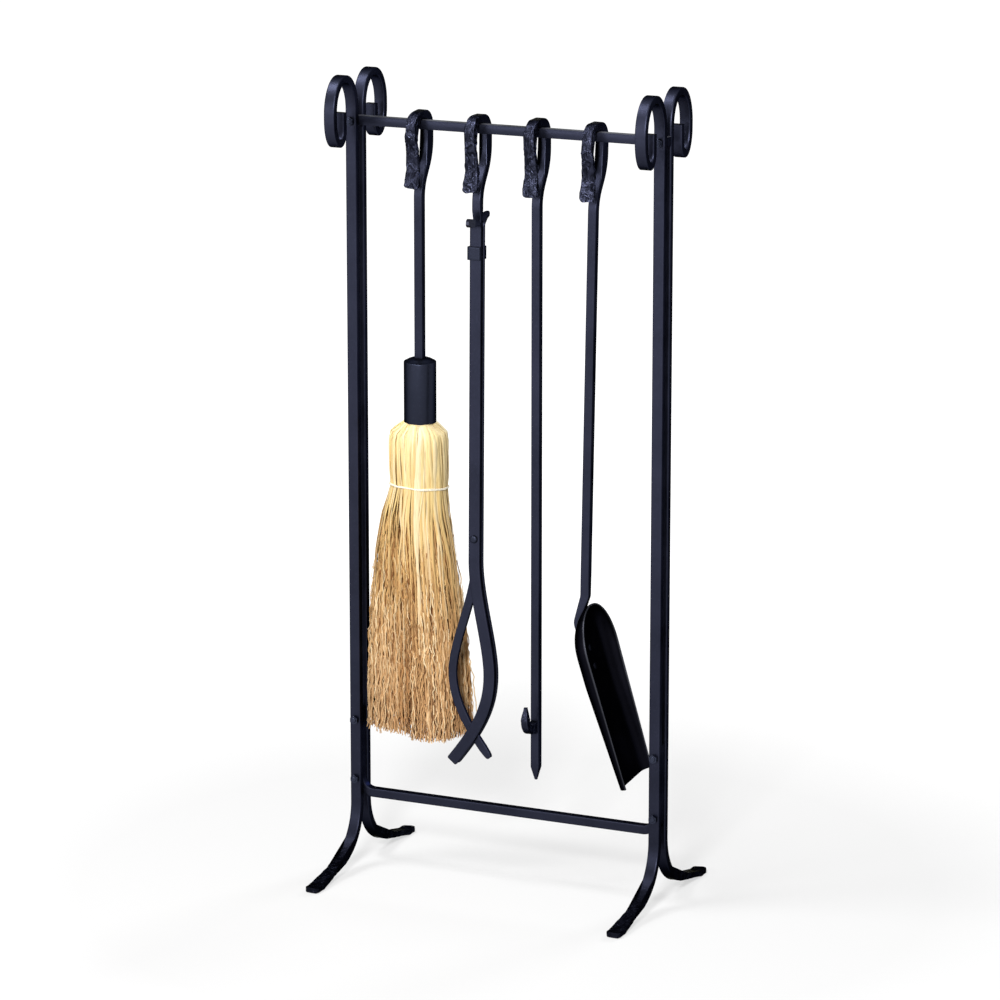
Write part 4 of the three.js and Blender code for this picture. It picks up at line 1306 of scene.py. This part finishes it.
bpy.ops.object.select_all(action="DESELECT")
bpy.ops.mesh.primitive_grid_add(x_subdivisions=ACROSS, y_subdivisions=ALONG, size=2)
pan = bpy.context.object
pan.name = "pan_of_shovel"
for vertex in pan.data.vertices:
    side, end = vertex.co.x, (1 - vertex.co.y) / 2
    along = PAN_LENGTH * (end**TOP_CROWDING)
    vertex.co = Vector(pan_point(side, max(along, FIRST_ROW))) * MM
bpy.ops.object.mode_set(mode="EDIT")
bpy.ops.mesh.select_all(action="SELECT")
bpy.ops.mesh.remove_doubles(threshold=0.00002)
bpy.ops.mesh.normals_make_consistent(inside=False)
bpy.ops.object.mode_set(mode="OBJECT")
outward = sum(p.normal.x * p.area for p in pan.data.polygons)
if outward > 0:
    pan.data.flip_normals()
apply(pan, "SOLIDIFY", thickness=PAN_WALL * MM, offset=-1, use_even_offset=True)
round_rim(pan, 0.4)
# A painted highlight along the rim of the pan.
set_highlight(pan, lambda v: 0.22 * (v.co.x > -0.5 * MM))
pan_place = (
    HANGS["shovel"]
    @ Matrix.Rotation(PAN_TURN, 4, "Z")
    @ Matrix.Translation((PAN_TOP[0] * MM, 0, -PAN_TOP[1] * MM))
    @ Matrix.Rotation(-PAN_LEAN, 4, "Y")
)
finish_piece(pan, "shovel", ["shovel_pan"], sheet_black_and_shade, pan_place, 45)
print("The pan is", PAN_LENGTH, "mm long, of", PAN_WALL, "mm sheet")

# %% Two rivets through the tongue and the pan
stack = PAN_WALL + SEAT_GAP + TONGUE_THICK
rivet_x = -PAN_DEPTH[0] + PAN_WALL - stack / 2
for place, along in (("upper", 44), ("lower", 64)):
    piece = rivet(f"rivet_of_shovel_{place}", stack, "X")
    matrix = pan_place @ Matrix.Translation((rivet_x * MM, 0, -along * MM))
    node = f"shovel_{place}_rivet"
    finish_piece(piece, "shovel", [node], rivet_black_and_shade, matrix, 50)
    print("The", place, "rivet is", along, "mm down the pan")

# %% [markdown]
# ### The broom
#
# The same hooked handle ends inside a steel cup with a shallow crown. The cup could be spun
# from a profile. It is raised from a disc here: the rim is bevelled, the top is inset and
# lifted three times, each time less, both ends are opened, and Solidify gives it a wall.

# %% Broom handle
FERRULE_TOP, FERRULE_LENGTH, FERRULE_RADIUS, FERRULE_WALL = 245.7, 68.1, 17, 1.5
SHAFT_INSIDE = 12.7
BROOM_SHAFT_END = FERRULE_TOP + SHAFT_INSIDE
FERRULE_BOTTOM = FERRULE_TOP + FERRULE_LENGTH
broom_bar = handle("shaft_of_broom", BROOM_SHAFT_END, [(BROOM_SHAFT_END, TOOL_STOCK, TOOL_STOCK)])
finish_piece(broom_bar, "broom", ["broom_handle"], iron, HANGS["broom"] @ SIDE_PLANE)
print("The broom's handle ends", SHAFT_INSIDE, "mm inside the cup")

# %% Ferrule
RIM_ROUND, CROWN_STEP = 1.1, 3.2
hole = math.sqrt(0.5) * TOOL_STOCK + SEAT_GAP
last_step = FERRULE_RADIUS - RIM_ROUND - 2 * CROWN_STEP - hole
crown = ((CROWN_STEP, 1.9), (CROWN_STEP, 1.2), (last_step, 0.5))
side = FERRULE_LENGTH - sum(upward for _, upward in crown)
ferrule = disc("ferrule", FERRULE_RADIUS, side, (0, 0, side / 2 - FERRULE_BOTTOM), 64, "Z")
bpy.ops.object.mode_set(mode="EDIT")
dome(ferrule, 2, 1, RIM_ROUND)
for inward, upward in crown:
    pick(ferrule, "faces", lambda f: f.normal.z > 0.99)
    bpy.ops.mesh.inset(thickness=inward * MM)
    bpy.ops.transform.translate(value=(0, 0, upward * MM))
for way in (1, -1):
    pick(ferrule, "faces", lambda f: f.normal.z * way > 0.99)
    bpy.ops.mesh.delete(type="FACE")
bpy.ops.object.mode_set(mode="OBJECT")
apply(ferrule, "SOLIDIFY", thickness=FERRULE_WALL * MM, offset=-1)
round_rim(ferrule, 0.3)
finish_piece(ferrule, "broom", ["broom_ferrule"], ferrule_black, HANGS["broom"], 40)
print("The ferrule has", len(ferrule.data.polygons), "faces")

# %% [markdown]
# ### The straw
#
# Broomcorn is a grass. Its smooth stalks are packed into the cup, bulge out over its edge and
# are pinched by one binding. Below that they fan out and branch into hundreds of fine kinked
# fibres. A solid with a hairy texture would look flat, and hair particles would be lost in
# an export. Every strand is a thin tapering rod along its own line instead, so the real gaps and
# shadows appear by themselves. Rods by the hundred are too many for operators, so one
# function writes them all, and keeps a tone for each strand as an attribute for its colour.

# %% Many rods in one mesh
chance = np.random.default_rng(7)


def strands(name, lines, sides, flat=1.0):
    """One mesh of tapering rods from (points, radii, tone), in millimetres."""
    places, faces, tones = [], [], []
    turns = np.arange(sides) * 2 * np.pi / sides
    base = 0
    for points, radii, shade in lines:
        count = len(points)
        along = np.gradient(points, axis=0)
        along /= np.linalg.norm(along, axis=1)[:, None]
        outward = points * (1.0, 1.0, 0.0) + (0.0, -0.01, 0.0)
        across = np.cross(along, outward)
        across /= np.linalg.norm(across, axis=1)[:, None]
        out = np.cross(across, along)
        ring = (
            across[:, None, :] * np.cos(turns)[None, :, None]
            + out[:, None, :] * np.sin(turns)[None, :, None] * flat
        )
        places.append((points[:, None, :] + ring * radii[:, None, None]).reshape(-1, 3))
        for i in range(count - 1):
            low = base + i * sides
            for j in range(sides):
                k = (j + 1) % sides
                faces.append((low + j, low + k, low + sides + k, low + sides + j))
        faces.append(tuple(base + j for j in reversed(range(sides))))
        faces.append(tuple(base + (count - 1) * sides + j for j in range(sides)))
        tones.append(np.full(count * sides, shade))
        base += count * sides
    mesh = bpy.data.meshes.new(name)
    mesh.from_pydata(np.concatenate(places) * MM, [], faces)
    tones = np.concatenate(tones)
    mesh.attributes.new("tone", "FLOAT", "POINT").data.foreach_set("value", tones)
    piece = bpy.data.objects.new(name, mesh)
    bpy.context.scene.collection.objects.link(piece)
    only(piece)
    bpy.ops.object.mode_set(mode="EDIT")
    bpy.ops.mesh.select_all(action="SELECT")
    bpy.ops.mesh.normals_make_consistent(inside=False)
    bpy.ops.object.mode_set(mode="OBJECT")
    return piece


print("A strand is a line of points, with a radius at each and one tone")

# %% [markdown]
# The bundle is a shape that every strand follows. It is known at a few drops below the cup:
# how wide and deep it is there, how far its middle is moved aside, and how square it is, from
# a circle at the cup to a flat oblong at the cut end. Between two drops it is mixed. A loft
# through such sections would give one smooth skin; here they only guide the strands.

# %% The shape of the bundle
# Drop below the cup, half width, half depth, offset to the right, squareness.
BUNDLE = (
    (-8, 14, 14, 0, 2),
    (0, 14.6, 14.6, 0, 2),
    (4, 21.4, 20, -0.6, 2),
    (11, 30.7, 24.2, -1.2, 2.1),
    (20, 32.1, 25.3, -1.6, 2.2),
    (45, 32.3, 25.5, -1.6, 2.2),
    (62, 32, 25.3, -1.5, 2.1),
    (69, 31.2, 24.8, -1.5, 2.1),
    (76, 32.4, 25, -2.4, 2.1),
    (100, 37.6, 25, -5, 2.2),
    (139, 45.4, 24.8, -5.6, 2.4),
    (193, 51.5, 24, -4.4, 2.8),
    (246, 55.6, 23.2, -3, 3.2),
    (302, 58.2, 22.6, -2.2, 3.4),
    (350, 59.6, 22.2, -2, 3.4),
)
DROPS, HALF_WIDTHS, HALF_DEPTHS, OFFSETS, SQUARENESS = zip(*BUNDLE)
STRAW_LENGTH, TWINE_DROP, PARTING = 346, 69, -3
EDGE_PLACES = 360


def outline_of(width, depth, squareness):
    """Places evenly along the edge of a rounded oblong, from the middle of its front."""
    turn = np.linspace(-np.pi / 2, 3 * np.pi / 2, 2001)
    x = width * np.sign(np.cos(turn)) * np.abs(np.cos(turn)) ** (2 / squareness)
    y = depth * np.sign(np.sin(turn)) * np.abs(np.sin(turn)) ** (2 / squareness)
    travelled = np.concatenate([[0], np.cumsum(np.hypot(np.diff(x), np.diff(y)))])
    wanted = np.linspace(0, travelled[-1], EDGE_PLACES + 1)
    return np.stack([np.interp(wanted, travelled, x), np.interp(wanted, travelled, y)], 1)


OUTLINES = np.array([outline_of(*row) for row in zip(HALF_WIDTHS, HALF_DEPTHS, SQUARENESS)])
print("The bundle is", 2 * max(HALF_WIDTHS), "mm wide at its end")

# %% [markdown]
# A strand lies at its own share of the way round, and on its own smaller copy of the bundle.
# Both may change a little on the way down, and that small disorder keeps it from looking
# combed. Every random number comes from one seeded source, so each run gives the same broom.

# %% Lines inside the bundle
def around(count):
    """Shares of the way round the bundle, evenly spread with a little disorder."""
    return (np.arange(count) + chance.uniform(-0.45, 0.45, count)) / count


def wander(drops, step, size):
    """A wavering offset: random at every step, smooth between."""
    knots = np.arange(drops[0] - step, drops[-1] + 2 * step, step)
    return np.interp(drops, knots, chance.normal(0, size, len(knots)))


def in_bundle(drops, way, share, inset):
    """Places at these drops below the ferrule, on a smaller copy of the bundle's outline.

    The outline grows from a circle at the ferrule to a rounded oblong at the cut end. `way`
    is how far round it a strand lies, from 0 to 1.
    """
    row = np.interp(drops, DROPS, np.arange(len(DROPS)))
    spot = (np.zeros(len(drops)) + way) % 1 * EDGE_PLACES
    above, first = np.minimum(row.astype(int), len(DROPS) - 2), spot.astype(int)
    down, along = (row - above)[:, None], (spot - first)[:, None]
    upper = OUTLINES[above, first] * (1 - along) + OUTLINES[above, first + 1] * along
    lower = OUTLINES[above + 1, first] * (1 - along) + OUTLINES[above + 1, first + 1] * along
    flat = upper * (1 - down) + lower * down
    sizes = [np.interp(drops, DROPS, halves) for halves in (HALF_WIDTHS, HALF_DEPTHS)]
    flat = flat * (share - inset / np.stack(sizes, 1))
    flat[:, 0] += np.interp(drops, DROPS, OFFSETS)
    return np.column_stack([flat, -FERRULE_BOTTOM - drops])


first_line = in_bundle(np.array([0.0, STRAW_LENGTH]), 0, 1, 0).round(1)
print("A line down the front runs from", first_line[0], "to", first_line[1])

# %% [markdown]
# The broom hangs close to the left post. Straw is soft, so strands that would reach into the
# post lie against it, and the bundle parts into two lobes near its cut end.

# %% Straw that gives way
POST_FACE = -POST_SPACING / 2 + POST_BAR_WIDTH / 2
POST_BACK = POST_DEPTH / 2
POST_ROOM, BEHIND_POST, BEHIND_BOLT, BOLT_REACH = 0.9, 1.5, 7.5, 26
FREE = -1000.0
LEFT_SHORT, LEFT_CORNER, LEFT_RISE, LEFT_SPAN = 6, -35, 5, 22
RIGHT_SHORT, RIGHT_CORNER, RIGHT_RISE, RIGHT_SPAN = 1, 22, 10, 34
GAP_TOP, GAP_LENGTH, GAP_WIDTH, GAP_FADE = 250, 80, 0.8, 5


def beside_post(points):
    """Straw that would reach into the left post lies against it, and beside its bolt."""
    matrix = np.array(HANGS["broom"].to_3x3())
    offset = np.array(HANGS["broom"].translation) / MM
    world = points @ matrix.T + offset
    limit = np.where(world[:, 1] < POST_BACK + BEHIND_POST, POST_FACE + POST_ROOM, FREE)
    near = np.abs(world[:, 2] - BOLT_HEIGHTS["upper"]) < BOLT_REACH
    near &= world[:, 1] < POST_BACK + BEHIND_BOLT
    limit = np.where(near, POST_FACE + POST_ROOM, limit)
    world[:, 0] = np.maximum(world[:, 0], limit)
    return (world - offset) @ matrix


def cut_line(x):
    """How far the bundle hangs at a place across its width: two lobes with a parting between."""
    if x < PARTING:
        return STRAW_LENGTH - LEFT_SHORT - LEFT_RISE * max(0.0, (LEFT_CORNER - x) / LEFT_SPAN)
    rise = RIGHT_RISE * max(0.0, (x - RIGHT_CORNER) / RIGHT_SPAN) ** 1.5
    return STRAW_LENGTH - RIGHT_SHORT - rise


def open_parting(points, drops):
    """Leaves a dark gap between the two lobes near the bottom."""
    gap = np.clip((drops - GAP_TOP) / GAP_LENGTH, 0, 1) * GAP_WIDTH
    side = np.where(points[:, 0] > PARTING, 1.0, -1.0)
    near = np.exp(-np.abs(points[:, 0] - PARTING) / GAP_FADE)
    points[:, 0] += side * gap * near
    return points


lobes = [round(cut_line(PARTING + away)) for away in (-10, 10)]
print("The lobes end", lobes[0], "and", lobes[1], "mm below the cup")

# %% [markdown]
# The stalks are laid in four layers, from the skin inwards, each on a smaller copy of the
# bundle. They leave the cup at slightly different heights and angles, are held by the
# binding, and grow thinner among the fibres. The outer ones are the pale ones; the inner ones
# are darker, which is painted shade.

# %% Stalks
def stalk(way, share, inset, radius):
    """A smooth stalk, from inside the cup to where it branches."""
    last = chance.uniform(170, 300)
    drops = np.concatenate([[-8, -2, 3, 7, 11, 15, 20, 28], np.arange(38, last, 10.5)])
    lay = chance.normal(-0.018, 0.02) * np.clip(1 - drops / 70, -1, 1)
    ways = way + lay + wander(drops, 45, 0.0028) * np.clip(drops / 60, 0.2, 1)
    crown = chance.uniform(-3, 1.8) * np.clip(1 - drops / 24, 0, 1) * (drops > 1)
    points = in_bundle(drops + crown, ways, share, inset)
    points[:, 2] = -FERRULE_BOTTOM - drops
    bound = np.exp(-(((drops - TWINE_DROP) / 14) ** 2))
    loose = np.clip((drops - 4) / 20, 0, 1) * (1 - 0.75 * bound)
    points[:, 0] += wander(drops, 38, 0.6) * loose
    points[:, 1] += wander(drops, 38, 0.8) * loose
    taper = np.interp(drops, (-8, 30, 62, 95, last), (0.9, 1.08, 0.95, 0.66, 0.3))
    # Inner stalks get a darker tone: painted shade between the outer ones.
    lit = 0.45 + 0.55 * (share > 0.93)
    return beside_post(points), radius * taper, chance.uniform(0.14, 1) * lit


# How many, on what share of the bundle, how far inside its skin, and how thick.
LAYERS = (
    (60, 1.0, 1.1, 1.9),
    (56, 0.97, 1.6, 2.0),
    (50, 0.92, 2.4, 2.0),
    (42, 0.84, 3.2, 1.8),
)
stalks = [
    stalk(way, share, inset + chance.uniform(-0.3, 0.5), radius * chance.uniform(0.5, 1.5))
    for count, share, inset, radius in LAYERS
    for way in around(count)
]
stalk_piece = strands("broom_stalks", stalks, 8, 0.36)
print(len(stalks), "stalks,", len(stalk_piece.data.polygons), "faces")

# %% [markdown]
# A fibre starts somewhere below the binding and wavers on a fine and a coarse scale, which
# gives the kinks. The deeper sets are darker, as painted shade, and start higher, so the gaps
# between the outer ones look like depth.

# %% Fibres
FIBRE_STEP, CUT_ROW = 4.0, 320.0


def fibre(way, share, first, sway=0.0025):
    """A kinked fibre from one drop down to the cut, with painted shade: darker the deeper it
    lies.
    """
    middle = in_bundle(np.array([CUT_ROW]), way, share, 0)[0]
    last = cut_line(middle[0]) - abs(chance.normal(0, 2.2)) - 12 * (1 - share)
    drops = np.append(np.arange(first, last, FIBRE_STEP), last)
    ways = way + wander(drops, 60, sway) * np.clip((drops - first) / 60, 0, 1)
    points = in_bundle(drops, ways, share, 0.9)
    for axis in (0, 1):
        points[:, axis] += wander(drops, 5.6, 0.95) + wander(drops, 24, 0.7)
    points = open_parting(points, drops)
    taper = np.interp(drops, (first, first + 25, last - 40, last), (0.5, 1, 0.95, 0.6))
    # Deeper sets get darker tones: painted shade.
    depth = (share > 0.9) + (share > 0.965)
    shade = chance.uniform((0, 0.02, 0.16)[depth], (0.12, 0.6, 1)[depth])
    return beside_post(points), chance.uniform(0.5, 0.98) * taper, shade


# How many fibres, on what share of the bundle and from what drop on.
SETS = ((210, 1.0, 125), (210, 0.955, 78), (320, 0.88, 78), (300, 0.78, 78))
START_SPREAD = 130
fibre_sets = []
for part, (count, share, highest) in enumerate(SETS):
    starts = chance.beta(2.2, 2.0, count) * START_SPREAD + highest
    lines = [
        fibre(way, share * chance.uniform(0.97, 1.0), start)
        for way, start in zip(around(count), starts)
    ]
    fibre_sets.append(strands(f"broom_fibres_{part + 1}", lines, 3))
print(sum(len(piece.data.polygons) for piece in fibre_sets), "faces of fibres")

# %% [markdown]
# A few fibres hang free of the bundle. Without them its outline would look trimmed. They are
# fibres like the others, pulled aside more and more on their way down.

# %% Strays
FRONT_STRAYS, LOOSE_STRAYS = 8, 26


def stray(way, first, forward, aside):
    """A fibre that leaves the bundle from one drop on, and hangs free of it."""
    points, radii, _ = fibre(way, 1.0, first, 0.004)
    away = np.clip((-FERRULE_BOTTOM - points[:, 2] - first - 40) / 110, 0, 1) ** 1.7
    points[:, 0] += away * aside
    points[:, 1] -= away * forward
    return beside_post(points), np.minimum(radii, 0.62), chance.uniform(0.5, 1)


strays = [
    stray(chance.uniform(0.8, 0.9), 190 + 8 * i, 4 + 2 * i, -6) for i in range(FRONT_STRAYS)
]
strays += [
    stray(
        chance.uniform(0, 1),
        chance.uniform(150, 220),
        chance.uniform(-1, 4),
        chance.uniform(-9, 9),
    )
    for _ in range(LOOSE_STRAYS)
]
fibre_sets.append(strands("broom_strays", strays, 4))
print(len(strays), "strays")

# %% [markdown]
# Light would fall through the gaps between the rods, so a dark core fills the middle as
# painted shade. It is one cylinder cut into rows, and each row takes the bundle's size there.

# %% Core
CORE_SHARE, CORE_INSET = 0.86, 4.2
core_drops = np.concatenate([np.arange(-6, 80, 6), np.arange(80, 318, 14)])
bpy.ops.object.select_all(action="DESELECT")
bpy.ops.mesh.primitive_cylinder_add(vertices=40, radius=1, depth=2)
shaded_straw_core = bpy.context.object
shaded_straw_core.name = "broom_shaded_core"
bpy.ops.object.mode_set(mode="EDIT")
pick(shaded_straw_core, "edges", lambda e: abs(e.verts[0].co.z - e.verts[1].co.z) > 1)
bpy.ops.mesh.subdivide(number_cuts=len(core_drops) - 2)
bpy.ops.object.mode_set(mode="OBJECT")
for vertex in shaded_straw_core.data.vertices:
    row = round((1 - vertex.co.z) / 2 * (len(core_drops) - 1))
    drop = core_drops[row]
    width = np.interp(drop, DROPS, HALF_WIDTHS) * CORE_SHARE - CORE_INSET
    depth = np.interp(drop, DROPS, HALF_DEPTHS) * CORE_SHARE - CORE_INSET
    shrink = min(1.0, (322 - drop) / 60 * 0.5 + 0.55)
    x, y = vertex.co.x * width * shrink, vertex.co.y * depth * shrink
    vertex.co = Vector((x, y, -FERRULE_BOTTOM - drop)) * MM
print("The core has", len(shaded_straw_core.data.polygons), "faces")

# %% [markdown]
# The colour runs from pale straw at the top to tan at the tips. One colour for all would make
# a block of it, so each strand has its own tone, dark or pale, and fine streaks run along it.
# The dark tones of the inner strands are painted shade.

# %% Straw finish
STRAW_TOP, STRAW_LOW = 0.5, 0.14


def straw_finish(name, stops, streak, tones, gloss):
    """Straw coloured by its height, by each strand's tone and by fine streaks."""
    shader = Shader(name)
    spot = shader.place()
    height = shader.node("ShaderNodeSeparateXYZ", {}, {"Vector": spot}, 2)
    wobble = shader.noise(spot, 30, 2)
    place = shader.spread(height + (wobble - 0.5) * 0.05, STRAW_LOW, STRAW_TOP)
    color = shader.ramp(place, stops)
    tone_of_strand = shader.node("ShaderNodeAttribute", {"attribute_name": "tone"}, {}, 2)
    streaks = shader.noise(shader.place((1, 1, 0.06)), streak, 3, 0.6)
    brown_and_shade = shader.ramp(
        place,
        [
            (0, tone(74, 38, 22)),
            (0.4, tone(104, 54, 28)),
            (0.65, tone(150, 88, 44)),
            (0.82, tone(196, 142, 76)),
            (1, tone(214, 168, 96)),
        ],
    )
    # Dark strands: their own colour on the outside, painted shade on the inner ones.
    color = shader.mix(shader.spread(tone_of_strand, 0.0, 0.3, tones[0], 0), color, brown_and_shade)
    pale = shader.ramp(place, [(0, tone(252, 220, 172)), (1, tone(255, 247, 210))])
    color = shader.mix(shader.spread(tone_of_strand, 0.5, 0.95, 0, tones[1]), color, pale)
    shade = shader.spread(streaks, 0.3, 0.7, 0.0, 0.32)
    dark = shader.ramp(place, [(0, tone(120, 74, 40)), (1, tone(190, 140, 74))])
    color = shader.mix(shade, color, dark)
    normal = shader.bump(streaks, 0.25 * MM, 0.7)
    return shader.finish(Base_Color=color, Roughness=gloss, Normal=normal, Specular_IOR_Level=0.2)


print("Straw is palest from", STRAW_TOP, "m above the floor on")

# %% Stalks, fibres and core in their colours
STRAW_STOPS = [
    (0.0, tone(210, 164, 114)),
    (0.34, tone(210, 166, 112)),
    (0.55, tone(226, 188, 126)),
    (0.74, tone(240, 212, 146)),
    (1.0, tone(250, 232, 176)),
]
stalk_finish = straw_finish("straw_stalk", STRAW_STOPS, 900, (0.85, 0.75), 0.5)
FIBRE_STOPS = STRAW_STOPS[:3] + [(0.8, tone(236, 202, 140))]
fibre_finish = straw_finish("straw_fibre", FIBRE_STOPS, 700, (1.0, 0.9), 0.7)
# The core's dark colour is painted shade deep in the bundle.
core_shader = Shader("shaded_straw_core")
core_streaks = core_shader.noise(core_shader.place((1, 1, 0.05)), 380, 3, 0.6)
core_shade_color = core_shader.ramp(
    core_streaks, [(0.35, tone(96, 56, 26)), (0.65, tone(146, 96, 50))]
)
core_shade_finish = core_shader.finish(Base_Color=core_shade_color, Roughness=0.9, Specular_IOR_Level=0.1)

dressed = [(stalk_piece, stalk_finish), *((piece, fibre_finish) for piece in fibre_sets)]
for piece, finish in [*dressed, (shaded_straw_core, core_shade_finish)]:
    finish_piece(piece, "broom", ["broom_straw"], finish, HANGS["broom"], 60)
    print(piece.name, "is", finish.name)

# %% [markdown]
# The twine is laid twice round the bundle, and is itself two plies round each other. A torus
# would be too even, so each ply is one more rod that winds about the twine's wavering line.

# %% Twine
TWINE_POINTS, TWINE_LAY, PLY_RADIUS, PLY_SWING = 260, 46, 0.42, 0.3
TWINE_HALF_WIDTH, TWINE_HALF_DEPTH, TWINE_OFFSET, TWINE_TILT = 32.1, 25.6, 1.5, 2.2

twine_turns = np.linspace(0, 2 * np.pi, TWINE_POINTS)
twine_plies = []
for wrap, rise in ((0, -0.45), (1, 0.45)):
    uneven = 0.35 * np.sin(3 * twine_turns + 1.3 + wrap) + 0.3 * np.sin(7 * twine_turns + wrap)
    for ply in (0, 1):
        lay = twine_turns * TWINE_LAY + ply * np.pi
        reach = 0.15 + PLY_SWING * np.cos(lay)
        x = (TWINE_HALF_WIDTH + reach) * np.cos(twine_turns) - TWINE_OFFSET
        y = (TWINE_HALF_DEPTH + reach) * np.sin(twine_turns)
        z = -FERRULE_BOTTOM - TWINE_DROP + rise + uneven + PLY_SWING * np.sin(lay)
        line = np.stack([x, y, z - TWINE_TILT * np.sin(twine_turns)], 1)
        twine_plies.append((line, np.full(TWINE_POINTS, PLY_RADIUS), chance.uniform()))
twine = strands("binding_of_broom", twine_plies, 6)
print("The twine has", len(twine.data.polygons), "faces")

# %% [markdown]
# Twine is matt and pale. Its plies already have a shape, so the finish only adds a fuzz that
# is too fine to model.

# %% Twine finish
twine_shader = Shader("pale_twine")
twine_spot = twine_shader.place()
twine_fuzz = twine_shader.noise(twine_spot, 1500, 2, 0.6)
twine_color = twine_shader.ramp(
    twine_fuzz, [(0.35, tone(238, 226, 198)), (0.65, tone(255, 251, 238))]
)
twine_finish = twine_shader.finish(
    Base_Color=twine_color, Roughness=0.85, Normal=twine_shader.bump(twine_fuzz, 0.15 * MM)
)
finish_piece(twine, "broom", ["broom_twine"], twine_finish, HANGS["broom"], 60)
print(twine.name, "is", twine_finish.name)
